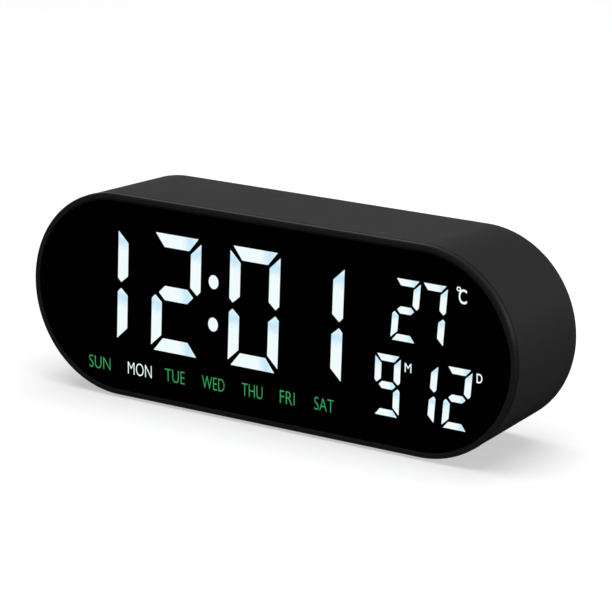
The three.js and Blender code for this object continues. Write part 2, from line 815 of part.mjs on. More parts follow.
// The flat cable between the boards, bent in a loose S from one connector to the other.
const cableFrom = [boardMiddle + 8, displayBack + SOLDER + CONNECTOR_HEIGHT + GAP];
const cableTo = [boardMiddle + 14, boardFront - SOLDER - CONNECTOR_HEIGHT - GAP];

function ribbonCable() {
  const reach = 0.8 * (cableTo[1] - cableFrom[1]);
  const run = new THREE.CubicBezierCurve(
    new THREE.Vector2(...cableFrom),
    new THREE.Vector2(cableFrom[0], cableFrom[1] + reach),
    new THREE.Vector2(cableTo[0], cableTo[1] - reach),
    new THREE.Vector2(...cableTo),
  );
  const sides = [-RIBBON_THICK / 2, RIBBON_THICK / 2].map((off) =>
    run.getPoints(RIBBON_STEPS).map((point, i) => {
      const along = run.getTangent(i / RIBBON_STEPS);
      return new THREE.Vector2(point.x - off * along.y, point.y + off * along.x);
    }),
  );
  const strip = new THREE.Shape([...sides[0], ...sides[1].reverse()]);
  const geometry = new THREE.ExtrudeGeometry(strip, { depth: RIBBON_WIDTH, bevelEnabled: false });
  return geometry.translate(0, 0, -RIBBON_WIDTH / 2);
}

function connector() {
  const half = RIBBON_WIDTH / 2 + 1.5;
  return block(-1.6, 1.6, 0, CONNECTOR_HEIGHT, -half, half);
}

// A battery lead, from under the bay to the front of the main board.
function batteryLead(z) {
  const under = bayBottom - BAY_WALL - 1.2;
  const path = new THREE.CatmullRomCurve3([
    new THREE.Vector3(BAY_RIGHT - 8, under, z),
    new THREE.Vector3(BAY_RIGHT - 1, under - 1, z),
    new THREE.Vector3(boardLeft + 2.5, under - 0.6, z * 0.9),
    new THREE.Vector3(boardLeft + 5, boardFront - GAP, z * 0.8),
  ]);
  const section = new THREE.Shape().absarc(0, 0, 0.6, 0, 2 * Math.PI, false);
  return new THREE.ExtrudeGeometry(section, {
    steps: 16,
    curveSegments: 4,
    bevelEnabled: false,
    extrudePath: path,
  });
}

// A bead thermistor held off the board on two stiff leads, behind its own slots.
function temperatureSensor() {
  const back = panelFront - 2.2;
  const bead = new THREE.SphereGeometry(1.3, 8, 6).translate(0, back, 0);
  const leads = [-0.7, 0.7].map((x) =>
    solidBlock(x - 0.25, x + 0.25, boardBack + SOLDER, back, -0.25, 0.25),
  );
  return join(toSolid(bead), ...leads);
}

// ---------------------------------------------------------------- assembly
addNode("front_frame", frontFrame(), FRAME);
addNode("front_lens", frontLens(), LENS);
addNode(
  "diffuser_film",
  plate(stadium(stackRadius), filmFront, filmFront + FILM_THICK, WINDOW_SEGMENTS),
  DIFFUSER,
);
addNode("light_guide", lightGuide(), GUIDE);
addNode("display_board", displayBoard(), LAMINATE);
addNode("rear_housing", rearHousing(), SHELL);

screwPlaces.forEach(([x, z], i) => {
  const [shank, head] = [SCREW_SHANK / 2, SCREW_HEAD / 2];
  const seat = wellBottom + GAP;
  const shape = screw(shank, head, SCREW_HEAD_HEIGHT, seat, seat - SCREW_LENGTH);
  addNode(`housing_screw_${i + 1}`, shape, SCREW_STEEL, [x, 0, z]);
});
feetPlaces.forEach(([x, depth], i) => {
  const [low, high] = [-END_RADIUS - FOOT_PROUD, footTop(depth) - SOLDER];
  const foot = upright(0, 0, FOOT_DIAMETER / 2, low, high, 20);
  addNode(`foot_${i + 1}`, foot, RUBBER, [x, depth, 0]);
});

for (let i = 0; i < CELL_COUNT; i++) {
  const z = cellRow(i);
  const flip = i % 2 ? -1 : 1;
  // Every other cell is turned end for end, with its spring and its plate.
  const end = bayLength / 2 - GAP; // from the bay's middle to its contacts
  const plateX = bayMiddle + flip * end - (flip > 0 ? CONTACT_THICK : 0);
  const flatEnd = bayMiddle + flip * (end - CONTACT_THICK - GAP - CELL_LENGTH);
  const springBase = bayMiddle - flip * (end - CONTACT_THICK);
  addNode(`battery_${i + 1}`, cell(i), CELL_JACKET, [flatEnd, cellDepth, z]);
  addNode(`contact_plate_${i + 1}`, contactPlate(), NICKEL, [plateX, cellDepth, z]);
  const spring = toGeometry(springContact());
  if (flip < 0) spring.rotateZ(Math.PI);
  addNode(`contact_spring_${i + 1}`, spring, NICKEL, [springBase, cellDepth, z]);
}
addNode("battery_door", batteryDoor(), SHELL, [bayMiddle, panelDepth, hingeUp]);

for (let i = 0; i < KEY_COUNT; i++) {
  const place = [keyX(i), 0, KEY_ROW];
  const plunger = bar(0, 0, PLUNGER_DIAMETER / 2, plungerFront, plungerBack, 10);
  addNode(`key_${i + 1}`, key(), FRAME, place);
  addNode(`switch_plunger_${i + 1}`, plunger, CHIP, place);
  addNode(`tact_switch_${i + 1}`, tactSwitch(), NICKEL, place);
}

addNode("main_board", mainBoard(), LAMINATE);
boardScrews.forEach(([x, z], i) => {
  addNode(`board_screw_${i + 1}`, boardScrew(), SCREW_STEEL, [x, 0, z]);
});
addNode("usb_socket", usbSocket(), NICKEL, [socketX, 0, LOW_ROW]);
addNode(
  "usb_tongue",
  block(-3.3, 3.3, socketFront + 1.2 + GAP, socketBack - 0.6, -0.35, 0.35),
  CHIP,
  [socketX, 0, LOW_ROW],
);
addNode(
  "buzzer",
  bar(0, 0, BUZZER_DIAMETER / 2, boardBack + SOLDER, boardBack + SOLDER + BUZZER_HEIGHT, 20),
  CHIP,
  [buzzerX, 0, LOW_ROW],
);
addNode("temperature_sensor", temperatureSensor(), CAPACITOR, [sensorX, 0, LOW_ROW]);

const boardFace = boardFront - SOLDER;
addNode("controller_chip", block(-5, 5, -1.6, 0, -5, 5), CHIP, [boardMiddle - 5, boardFace, 2]);
addNode("clock_crystal", block(-4, 4, -2.2, 0, -1.5, 1.5), NICKEL, [boardMiddle - 5, boardFace, -8]);
addNode("capacitor", bar(0, 0, 3.1, -6.4, 0, 14), CAPACITOR, [boardMiddle - 17, boardFace, -12]);
addNode("cable_connector_front", connector(), DIFFUSER, [cableFrom[0], displayBack + SOLDER, 0]);
addNode("cable_connector_rear", connector(), DIFFUSER, [cableTo[0], boardFace - CONNECTOR_HEIGHT, 0]);
addNode("ribbon_cable", ribbonCable(), RIBBON);
addNode("battery_lead_red", batteryLead(7), WIRE_RED);
addNode("battery_lead_black", batteryLead(-7), WIRE_BLACK);

export default clock;
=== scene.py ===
"""Looks for a pill-shaped digital alarm clock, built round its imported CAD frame."""

import math

import bmesh
import bpy
from bpy.props import FloatProperty, FloatVectorProperty, IntProperty
from mathutils import Matrix, Vector


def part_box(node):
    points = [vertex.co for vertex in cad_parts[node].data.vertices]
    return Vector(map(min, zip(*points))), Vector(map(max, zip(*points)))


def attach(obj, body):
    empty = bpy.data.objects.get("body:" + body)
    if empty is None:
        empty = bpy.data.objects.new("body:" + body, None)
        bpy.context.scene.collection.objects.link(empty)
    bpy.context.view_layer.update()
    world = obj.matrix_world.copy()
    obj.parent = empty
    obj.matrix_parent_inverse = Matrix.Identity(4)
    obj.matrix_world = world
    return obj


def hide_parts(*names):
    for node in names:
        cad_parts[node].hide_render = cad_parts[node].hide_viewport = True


bl_info = {
    "name": "Pill Alarm Clock",
    "version": (1, 0, 0),
    "blender": (4, 5, 0),
    "location": "View3D > Sidebar > Alarm Clock",
    "description": "Builds the visible pieces, finishes and stage of a digital alarm clock",
    "category": "Object",
}

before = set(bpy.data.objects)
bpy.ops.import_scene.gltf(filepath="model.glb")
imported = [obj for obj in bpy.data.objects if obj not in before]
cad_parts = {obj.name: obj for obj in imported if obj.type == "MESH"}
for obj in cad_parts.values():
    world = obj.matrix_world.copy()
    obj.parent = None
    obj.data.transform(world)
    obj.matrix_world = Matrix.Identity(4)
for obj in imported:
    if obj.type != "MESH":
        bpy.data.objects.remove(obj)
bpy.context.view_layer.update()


# Lengths below are millimetres. Depth runs back from the front face, up from the middle line.
MM = 0.001
front_low, front_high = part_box("front_frame")
ORIGIN = Vector((0, front_low.y, (front_low.z + front_high.z) / 2))
END_RADIUS = (front_high.z - front_low.z) / 2 / MM
STRAIGHT = (front_high.x - front_low.x) / 2 / MM - END_RADIUS
DEPTH = (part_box("rear_housing")[1].y - front_low.y) / MM
TO_WORLD = Matrix.Translation(ORIGIN) @ Matrix.Scale(MM, 4)

DRAFT = 1.45  # how much the outline's radius shrinks from front to back
GAP = 0.3  # between pieces that seat on each other
SLIP = 0.15  # beside a piece that drops into a pocket
RIM_WIDTH = 1.55  # of the front band, round the window
BAND_DEPTH = 1.75  # of the front band's side
PARTING = 0.5  # width of the groove between band and housing
PARTING_FLOOR = 0.8  # how deep the groove is
SPIGOT_LENGTH = 4
SPIGOT_WALL = 1.3
WALL = 1.8
REAR_RECESS = 1.2  # from the rear rim in to the rear panel
REAR_WALL = 2
REAR_RIM = 2.8
FLAT_START = 6  # how far in from its edge a flat face's profile starts
BOSS_RADIUS = 2.4
BOSS_END = 16  # depth where the band's bosses meet the housing's posts
KEY_RADIUS = 3.5
LOW_ROW = -9  # middle line of the slots
SLOT_WIDTH = 1.2
SLOT_LENGTH = 7
SLOT_PITCH = 2.4
SOUND_SLOTS = 4
AIR_SLOTS = 3
USB_SKIN = 0.35
WIRE_RADIUS = 0.3
TILE_THICK = 0.03  # of the lit shapes on the window
SCREW_SHANK = 1.25  # radius of a case screw's shank
SCREW_HOLE = 1.45  # radius of the hole round it
SCREW_HEAD = 1.8  # height of a case screw's head
OVERLAP = 0.5  # how far a shape runs into the one that it joins or opens into


def outer_radius(depth):
    """The outline's radius, which is half its height, at a depth."""
    return END_RADIUS - DRAFT * depth / DEPTH


HOUSING_FRONT = BAND_DEPTH + PARTING
PANEL_BACK = DEPTH - REAR_RECESS
PANEL_FRONT = PANEL_BACK - REAR_WALL
REAR_RADIUS = outer_radius(DEPTH)


def node_box(node):
    """A CAD node's corners in millimetres, in the clock's own coordinates."""
    low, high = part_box(node)
    return (low - ORIGIN) / MM, (high - ORIGIN) / MM


def node_middle(node):
    """The middle of a CAD node, in the clock's own coordinates."""
    low, high = node_box(node)
    return (low + high) / 2


def numbered(name, count):
    """The names of repeated pieces."""
    return [f"{name}_{i + 1}" for i in range(count)]


SCREWS = numbered("housing_screw", 4)
BOARD_SCREWS = numbered("board_screw", 4)
KEYS = numbered("key", 5)
FEET = numbered("foot", 4)
CELLS = numbered("battery", 3)


# ------------------------------------------------------------------ finishes
class Socket:
    """A shader value that can stand in sums, products and comparisons."""

    def __init__(self, finish, link):
        self.finish = finish
        self.link = link

    def math(self, operation, first, second):
        values = {0: first, 1: second}
        return self.finish.node("ShaderNodeMath", {"operation": operation}, values, "Value")

    def __add__(self, other):
        return self.math("ADD", self, other)

    def __radd__(self, other):
        return self.math("ADD", other, self)

    def __sub__(self, other):
        return self.math("SUBTRACT", self, other)

    def __rsub__(self, other):
        return self.math("SUBTRACT", other, self)

    def __mul__(self, other):
        return self.math("MULTIPLY", self, other)

    def __rmul__(self, other):
        return self.math("MULTIPLY", other, self)

    def __gt__(self, other):
        return self.math("GREATER_THAN", self, other)

    def __lt__(self, other):
        return self.math("LESS_THAN", self, other)


class Finish:
    """A procedural material, or a world, drawn with nodes."""

    def __init__(self, owner):
        owner.use_nodes = True
        self.owner = owner
        self.tree = owner.node_tree
        self.tree.nodes.clear()

    def node(self, kind, settings=None, values=None, output=0):
        made = self.tree.nodes.new(kind)
        for key, setting in (settings or {}).items():
            if key == "stops":
                ramp = made.color_ramp.elements
                while len(ramp) < len(setting):
                    ramp.new(0.5)
                for element, (place, colour) in zip(ramp, setting):
                    element.position = place
                    element.color = (*colour, 1)
            else:
                setattr(made, key, setting)
        for key, value in (values or {}).items():
            if isinstance(value, Socket):
                self.tree.links.new(value.link, made.inputs[key])
            elif isinstance(value, tuple) and len(value) == 3 and made.inputs[key].type == "RGBA":
                made.inputs[key].default_value = (*value, 1)
            else:
                made.inputs[key].default_value = value
        return Socket(self, made.outputs[output])

    def place(self):
        """Object coordinates, in metres."""
        return self.node("ShaderNodeTexCoord", output="Object")

    def axis(self, letter):
        return self.node("ShaderNodeSeparateXYZ", None, {0: self.place()}, letter)

    def along(self):
        """How far along the piece's own map, from 0 to 1."""
        mapped = self.node("ShaderNodeUVMap", {"uv_map": "along"})
        return self.node("ShaderNodeSeparateXYZ", None, {0: mapped}, "X")

    def noise(self, scale, detail=2.0, roughness=0.5):
        values = {"Vector": self.place(), "Scale": scale, "Detail": detail, "Roughness": roughness}
        return self.node("ShaderNodeTexNoise", None, values, 0)

    def cells(self, scale):
        return self.node("ShaderNodeTexVoronoi", None, {"Vector": self.place(), "Scale": scale}, 0)

    def blend(self, share, first, second):
        values = {0: share, 6: first, 7: second}
        return self.node("ShaderNodeMix", {"data_type": "RGBA"}, values, 2)

    def bump(self, height, distance, strength=1.0):
        values = {"Height": height, "Distance": distance, "Strength": strength}
        return self.node("ShaderNodeBump", None, values)

    def surface(self, **values):
        """Ends the material. Underscores in the names stand for spaces."""
        named = {name.replace("_", " "): value for name, value in values.items()}
        self.end(self.node("ShaderNodeBsdfPrincipled", None, named))
        return self.owner

    def end(self, shader, kind="ShaderNodeOutputMaterial"):
        """Links a shader to the output."""
        output = self.tree.nodes.new(kind)
        self.tree.links.new(shader.link, output.inputs["Surface"])


def finish(name):
    """Starts a new material."""
    return Finish(bpy.data.materials.new(name))


def shade(colour, factor):
    """A colour made darker or lighter."""
    return tuple(channel * factor for channel in colour)


def moulded_plastic(name, colour, grain, depth, roughness, gloss=0.5):
    """Moulded plastic with a spark-eroded texture, faint flow marks and handling marks."""
    f = finish(name)
    grains = f.noise(grain, 3.0, 0.6)
    marks = f.noise(55.0, 4.0, 0.6)
    return f.surface(
        Base_Color=f.blend(marks, shade(colour, 0.86), shade(colour, 1.14)),
        Roughness=grains * 0.1 + marks * 0.12 + (roughness - 0.11),
        Normal=f.bump(grains, depth),
        Specular_IOR_Level=gloss,
    )


def plain_finish(name, colour, roughness, scale, metallic=0.0, depth=4e-6):
    """A small part's surface: two tones, uneven polish and a light texture."""
    f = finish(name)
    grains = f.noise(scale)
    return f.surface(
        Base_Color=f.blend(grains, shade(colour, 0.8), shade(colour, 1.15)),
        Roughness=grains * 0.16 + (roughness - 0.08),
        Metallic=metallic,
        Normal=f.bump(grains, depth),
    )


def window_finish(colour):
    """Smoked acrylic with the faintest uneven polish."""
    f = finish("smoked_window")
    smear = f.noise(38.0, 5.0, 0.65)
    return f.surface(
        Base_Color=f.blend(smear, colour, shade(colour, 1.6)),
        Roughness=smear * 0.05 + 0.03,
        Specular_IOR_Level=0.5,
    )


def glow_finish(name, near, far, strength):
    """Lit legend: light falls off along each shape, and the diffuser mottles it."""
    f = finish(name)
    mottle = f.noise(900.0, 3.0)
    share = f.along() + (mottle - 0.5) * 0.22
    middle = tuple((2 * a + b) / 3 for a, b in zip(near, far))
    stops = [(0.0, near), (0.62, near), (0.82, far), (1.0, middle)]
    colour = f.node("ShaderNodeValToRGB", {"stops": stops}, {"Fac": share}, "Color")
    return f.surface(
        Base_Color=(0.004, 0.004, 0.005),
        Roughness=mottle * 0.05 + 0.03,
        Emission_Color=colour,
        Emission_Strength=strength,
    )


def rubber_finish(colour):
    """Fine-pored rubber with a little dust on it."""
    f = finish("foot_rubber")
    grains = f.cells(2600.0)
    dust = f.noise(160.0, 4.0)
    return f.surface(
        Base_Color=f.blend(dust, colour, shade(colour, 1.9)),
        Roughness=dust * 0.12 + 0.78,
        Normal=f.bump(grains, 1.5e-5),
    )


def steel_finish(name, colour, roughness):
    """Plated steel, with fine scratches across a soft brushed tone."""
    f = finish(name)
    values = {"Vector": f.place(), "Scale": (400.0, 9000.0, 2500.0)}
    stretched = f.node("ShaderNodeMapping", None, values)
    scratches = f.node("ShaderNodeTexNoise", None, {"Vector": stretched, "Scale": 1.0})
    tone = f.noise(700.0)
    return f.surface(
        Base_Color=f.blend(tone, shade(colour, 0.82), colour),
        Roughness=scratches * 0.18 + tone * 0.1 + (roughness - 0.14),
        Metallic=1.0,
        Normal=f.bump(scratches, 3e-6),
    )


def board_finish(colour):
    """Solder mask over copper runs, with bare pads between them."""
    f = finish("circuit_laminate")
    runs = f.node(
        "ShaderNodeTexBrick",
        {"offset": 0.37},
        {
            "Vector": f.place(),
            "Scale": 260.0,
            "Mortar Size": 0.035,
            "Color1": (0.0, 0.0, 0.0),
            "Color2": (0.35, 0.35, 0.35),
            "Mortar": (1.0, 1.0, 1.0),
        },
        "Color",
    )
    pads = f.cells(420.0) < 0.11
    mask = f.blend(runs, colour, shade(colour, 1.9))
    return f.surface(
        Base_Color=f.blend(pads, mask, (0.55, 0.5, 0.38)),
        Roughness=0.32 + pads * 0.12,
        Metallic=pads * 0.8,
        Normal=f.bump(runs, 2e-5),
    )


def jacket_finish(colour, band):
    """A cell's printed sleeve between its bare metal ends."""
    f = finish("cell_sleeve")
    along = f.along()
    bare = (along < 0.012) + (along > 0.972)
    printed = along > 0.72
    line = (along > 0.705) * (along < 0.72)
    ink = f.blend(printed, colour, band)
    sleeve = f.blend(line, ink, (0.75, 0.75, 0.72))
    wear = f.noise(420.0, 4.0)
    return f.surface(
        Base_Color=f.blend(bare, sleeve, (0.6, 0.6, 0.58)),
        Roughness=wear * 0.14 + 0.24,
        Metallic=bare * 0.9 + printed * 0.35,
        Normal=f.bump(wear, 1.2e-5),
    )


def ribbon_finish(colour):
    """Flat cable: parallel cores under a clear skin, with one marked edge."""
    f = finish("ribbon_skin")
    up = f.axis("Z")
    cores = f.node(
        "ShaderNodeTexWave",
        {"bands_direction": "Z"},
        {"Vector": f.place(), "Scale": 320.0, "Distortion": 0.0},
        "Color",
    )
    low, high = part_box("ribbon_cable")
    marked = up < (low.z + 0.08 * (high.z - low.z))
    skin = f.blend(cores, shade(colour, 0.75), colour)
    return f.surface(
        Base_Color=f.blend(marked, skin, (0.5, 0.05, 0.04)),
        Roughness=f.noise(900.0) * 0.15 + 0.42,
        Normal=f.bump(cores, 6e-5),
    )


def sleeve_finish(colour):
    """A capacitor's shrunk sleeve, with a pale stripe down one side."""
    f = finish("capacitor_sleeve")
    low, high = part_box("capacitor")
    stripe = f.axis("X") > (high.x - 0.18 * (high.x - low.x))
    wear = f.noise(1100.0, 3.0)
    return f.surface(
        Base_Color=f.blend(stripe, colour, (0.5, 0.5, 0.52)),
        Roughness=wear * 0.15 + 0.3,
        Normal=f.bump(wear, 1e-5),
    )


def floor_finish(colour, glow):
    """A lit paper sweep: its own faint glow keeps shadows on it soft and pale."""
    f = finish("stage_floor")
    paper = f.noise(14.0, 3.0)
    return f.surface(
        Base_Color=f.blend(paper, shade(colour, 0.995), colour),
        Roughness=paper * 0.1 + 0.85,
        Specular_IOR_Level=0.0,
        Emission_Color=(1.0, 1.0, 1.0),
        Emission_Strength=glow,
    )


# ------------------------------------------------------------------ shaping
def rounded(corners, steps=5):
    """A profile from (radius, depth) or (radius, depth, rounding) corners."""
    count = len(corners)
    points = []
    for i, corner in enumerate(corners):
        here = Vector(corner[:2])
        if len(corner) == 2 or not 0 < i < count - 1:
            points.append(here)
            continue
        before = (Vector(corners[i - 1][:2]) - here).normalized()
        after = (Vector(corners[i + 1][:2]) - here).normalized()
        half = before.angle(after) / 2
        centre = here + (before + after).normalized() * corner[2] / math.sin(half)
        start = (here + before * corner[2] / math.tan(half) - centre).normalized()
        end = (here + after * corner[2] / math.tan(half) - centre).normalized()
        for step in range(steps + 1):
            points.append(centre + start.slerp(end, step / steps) * corner[2])
    return points


def carried(bm, edges):
    """Pulls a profile's edges into new faces, and returns the new edges and their points."""
    result = bmesh.ops.extrude_edge_only(bm, edges=edges)["geom"]
    moved = [item for item in result if isinstance(item, bmesh.types.BMVert)]
    return [item for item in result if isinstance(item, bmesh.types.BMEdge)], moved


def sweep(profile, straight=0.0, centre=(0, 0), steps=48, closed=False, upright=False):
    """Carries a profile of (radius, depth) points round a pill, or round a circle."""
    bm = bmesh.new()
    x, z = centre
    verts = [bm.verts.new((x + straight, depth, z - radius)) for radius, depth in profile]
    pairs = list(zip(verts, verts[1:]))
    if closed:
        pairs.append((verts[-1], verts[0]))
    edges = [bm.edges.new(pair) for pair in pairs]
    if straight == 0:
        bmesh.ops.spin(
            bm,
            geom=verts + edges,
            cent=(x, 0, z),
            axis=(0, 1, 0),
            angle=-2 * math.pi,
            steps=2 * steps,
            use_merge=True,
        )
    else:
        for side in (1, -1):
            turned = bmesh.ops.spin(
                bm,
                geom=edges,
                cent=(x + side * straight, 0, z),
                axis=(0, 1, 0),
                angle=-math.pi,
                steps=steps,
            )["geom_last"]
            last = [item for item in turned if isinstance(item, bmesh.types.BMEdge)]
            edges, moved = carried(bm, last)
            bmesh.ops.translate(bm, verts=moved, vec=(-2 * side * straight, 0, 0))
    bmesh.ops.remove_doubles(bm, verts=bm.verts, dist=1e-3)
    bmesh.ops.holes_fill(bm, edges=bm.edges, sides=0)
    bmesh.ops.recalc_face_normals(bm, faces=bm.faces)
    if upright:
        quarter = Matrix.Rotation(math.pi / 2, 3, "Y")
        bmesh.ops.rotate(bm, verts=bm.verts, cent=(x, 0, z), matrix=quarter)
    return bm


def rod(x, z, radius, front, back, steps=16, hole=0):
    """A round bar along the depth, or a ring if it has a hole."""
    profile = [(hole, front), (radius, front), (radius, back), (hole, back)]
    return sweep(profile, centre=(x, z), steps=steps, closed=hole > 0)


def stood_up(bm, centre):
    """Turns a shape that was swept about the depth to stand up from a point."""
    matrix = Matrix.Rotation(math.pi / 2, 3, "X")
    bmesh.ops.rotate(bm, verts=bm.verts, cent=(0, 0, 0), matrix=matrix)
    bmesh.ops.translate(bm, verts=bm.verts, vec=centre)
    return bm


def slab(low, high, rounding=0.0, segments=3, along=None):
    """A block between two corners, with its edges, or only those along one axis, rounded."""
    low, high = Vector(low), Vector(high)
    bm = bmesh.new()
    bmesh.ops.create_cube(bm, size=1)
    bmesh.ops.scale(bm, verts=bm.verts, vec=high - low)
    bmesh.ops.translate(bm, verts=bm.verts, vec=(low + high) / 2)
    if rounding:
        edges = [e for e in bm.edges if along is None or abs(edge_way(e)[along]) > 0.9]
        bevel(bm, edges, rounding, segments)
    return bm


def edge_way(edge):
    """An edge's direction."""
    return (edge.verts[1].co - edge.verts[0].co).normalized()


def bevel(bm, edges, width, segments):
    """Rounds edges."""
    bmesh.ops.bevel(
        bm,
        geom=edges,
        offset=width,
        segments=segments,
        profile=0.5,
        affect="EDGES",
        material=-1,
        clamp_overlap=True,
    )


def cushioned(low, high, corner, edge, segments=3):
    """A block with round corners in the panel's plane and a softer break on its back face."""
    bm = slab(low, high, corner, 6, 1)
    top = max(v.co.y for v in bm.verts)
    outline = [e for e in bm.edges if all(abs(v.co.y - top) < 1e-5 for v in e.verts)]
    bevel(bm, outline, edge, segments)
    return bm


def outline_tile(points, front, back, rounding=0.0):
    """A flat shape in x and z with a thickness."""
    bm = bmesh.new()
    face = bm.faces.new([bm.verts.new((x, back, z)) for x, z in points])
    grown = bmesh.ops.extrude_face_region(bm, geom=[face])["geom"]
    moved = [item for item in grown if isinstance(item, bmesh.types.BMVert)]
    bmesh.ops.translate(bm, verts=moved, vec=(0, front - back, 0))
    if rounding:
        bevel(bm, [e for e in bm.edges if abs(edge_way(e).y) > 0.9], rounding, 2)
    bmesh.ops.recalc_face_normals(bm, faces=bm.faces)
    return bm


def as_mesh(name, bm):
    """A shape's mesh. The shape itself is used up."""
    mesh = bpy.data.meshes.new(name)
    bm.to_mesh(mesh)
    bm.free()
    return mesh


def linked(name, data):
    """A new object in the scene."""
    made = bpy.data.objects.new(name, data)
    bpy.context.scene.collection.objects.link(made)
    return made


def final_shape(made):
    """What an object's modifiers, or its curve, come to."""
    bpy.context.view_layer.update()
    bm = bmesh.new()
    bm.from_mesh(made.evaluated_get(bpy.context.evaluated_depsgraph_get()).to_mesh())
    return bm


def drawn(curve):
    """A curve or lettering as a shape. The curve itself is used up."""
    made = linked("drawn", curve)
    bm = final_shape(made)
    bpy.data.objects.remove(made)
    bpy.data.curves.remove(curve)
    bmesh.ops.remove_doubles(bm, verts=bm.verts, dist=1e-5)
    return bm


def gathered(shapes):
    """Several shapes as one."""
    whole = bmesh.new()
    for bm in shapes:
        part = as_mesh("part", bm)
        whole.from_mesh(part)
        bpy.data.meshes.remove(part)
    return whole


def worked(bm, joined=(), removed=()):
    """Joins shapes to a body and cuts others out of it."""
    body = linked("body", as_mesh("body", bm))
    tools = [(linked("tool", as_mesh("tool", tool)), "UNION") for tool in joined]
    tools += [(linked("tool", as_mesh("tool", tool)), "DIFFERENCE") for tool in removed]
    for tool, operation in tools:
        modifier = body.modifiers.new("cut", "BOOLEAN")
        modifier.operation = operation
        modifier.solver = "EXACT"
        modifier.object = tool
    result = final_shape(body)
    for made in [body] + [tool for tool, _ in tools]:
        mesh = made.data
        bpy.data.objects.remove(made)
        bpy.data.meshes.remove(mesh)
    bmesh.ops.remove_doubles(result, verts=result.verts, dist=1e-4)
    bmesh.ops.dissolve_degenerate(result, edges=result.edges, dist=1e-4)
    return result


def map_along(bm, axis, low, high):
    """Writes how far along an axis each point lies into the piece's own map."""
    layer = bm.loops.layers.uv.get("along") or bm.loops.layers.uv.new("along")
    for face in bm.faces:
        for loop in face.loops:
            share = (loop.vert.co[axis] - low) / (high - low)
            loop[layer].uv = (share, 0.5)
    return bm


SHARP_ANGLE = math.radians(32)


def add_piece(name, bm, material, body, replaces=()):
    """Puts a finished shape in place as a piece of the clock."""
    bm.transform(TO_WORLD)
    for face in bm.faces:
        face.smooth = True
    for edge in bm.edges:
        edge.smooth = edge.calc_face_angle(0) < SHARP_ANGLE
    mesh = as_mesh(name, bm)
    mesh.materials.append(material)
    piece = linked(name, mesh)
    evened = piece.modifiers.new("even normals", "WEIGHTED_NORMAL")
    evened.keep_sharp = True
    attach(piece, body)
    if replaces:
        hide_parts(*replaces)
    return piece


def text_shape(text, centre, width, height, front, back, thin=0.0):
    """Lettering as a solid shape facing the front, fitted to a width and a height."""
    curve = bpy.data.curves.new("lettering", "FONT")
    curve.body = text
    curve.resolution_u = 5
    curve.extrude = 0.05
    curve.offset = -thin
    bm = drawn(curve)
    lows = [min(v.co[i] for v in bm.verts) for i in range(3)]
    highs = [max(v.co[i] for v in bm.verts) for i in range(3)]
    middle = [(low + high) / 2 for low, high in zip(lows, highs)]
    size = [high - low for low, high in zip(lows, highs)]
    bmesh.ops.translate(bm, verts=bm.verts, vec=[-m for m in middle])
    scale = (width / size[0], height / size[1], (back - front) / size[2])
    bmesh.ops.scale(bm, verts=bm.verts, vec=scale)
    bmesh.ops.rotate(bm, verts=bm.verts, matrix=Matrix.Rotation(math.pi / 2, 3, "X"))
    place = (centre[0], (front + back) / 2, centre[1])
    bmesh.ops.translate(bm, verts=bm.verts, vec=place)
    return bm


# ------------------------------------------------------------------ what a user can change
def length(name, description, default):
    """A size that a user can change, in metres."""
    return FloatProperty(name=name, description=description, default=default, unit="LENGTH")


def colour(name, description, default):
    """A colour that a user can change."""
    return FloatVectorProperty(
        name=name, description=description, default=default, subtype="COLOR", min=0, max=1
    )


class ClockSizes(bpy.types.PropertyGroup):
    band_break: length("Band edge", "Rounding of the front band's outer edge", 0.00035)
    rear_round: length("Rear edge", "Rounding of the rear rim's outer edge", 0.0011)
    cover_corner: length("Cover corners", "Corner radius of the battery cover", 0.0011)
    key_dish: length("Key dish", "How far each key's top is dished", 0.00018)
    hole_break: length("Hole edges", "Chamfer round the rear panel's openings", 0.00025)
    end_steps: IntProperty(
        name="End steps", description="Steps round each half-round end", default=72, min=12
    )


class ClockColours(bpy.types.PropertyGroup):
    shell: colour("Shell", "Matte housing plastic", (0.015, 0.015, 0.0153))
    band: colour("Band", "Front band and keys", (0.007, 0.007, 0.0073))
    window: colour("Window", "Smoked display window", (0.0003, 0.0003, 0.0004))
    digit: colour("Digits", "Body of each lit digit segment", (0.86, 0.965, 0.975))
    digit_edge: colour("Digit shade", "Cooler end of each lit segment", (0.55, 0.8, 0.95))
    day: colour("Day names", "Lit green of the day names", (0.03, 0.34, 0.1))
    rubber: colour("Rubber", "Feet", (0.014, 0.014, 0.014))
    sleeve: colour("Cell sleeve", "Battery sleeve", (0.02, 0.09, 0.26))
    board: colour("Board", "Solder mask of the boards", (0.01, 0.085, 0.03))
    floor: colour("Floor", "Stage floor", (0.5, 0.5, 0.5))


class ClockStage(bpy.types.PropertyGroup):
    azimuth: FloatProperty(
        name="Azimuth",
        description="How far the camera stands to the right of straight ahead",
        default=math.radians(34.141),
        subtype="ANGLE",
    )
    elevation: FloatProperty(
        name="Elevation",
        description="How far the camera looks down",
        default=math.radians(15.596),
        subtype="ANGLE",
    )
    roll: FloatProperty(
        name="Roll",
        description="Turn of the camera about its own view",
        default=math.radians(0.009),
        subtype="ANGLE",
    )
    lens: FloatProperty(
        name="Lens",
        description="Focal length in millimetres",
        default=180.95,
        subtype="DISTANCE_CAMERA",
    )
    sky: FloatProperty(name="Sky", description="Light from straight above", default=0.12, min=0)
    horizon: FloatProperty(name="Horizon", description="Light from the sides", default=0.46, min=0)
    floor_glow: FloatProperty(
        name="Floor glow", description="Light from the floor", default=0.47, min=0
    )
    key_power: FloatProperty(
        name="Overhead light",
        description="Power of the large overhead light",
        default=31,
        unit="POWER",
    )
    fill_power: FloatProperty(
        name="Side light",
        description="Power of the light beside the clock",
        default=20,
        unit="POWER",
    )


def size(name):
    """One of the clock's sizes, in millimetres."""
    return getattr(bpy.context.scene.clock_sizes, name) / MM


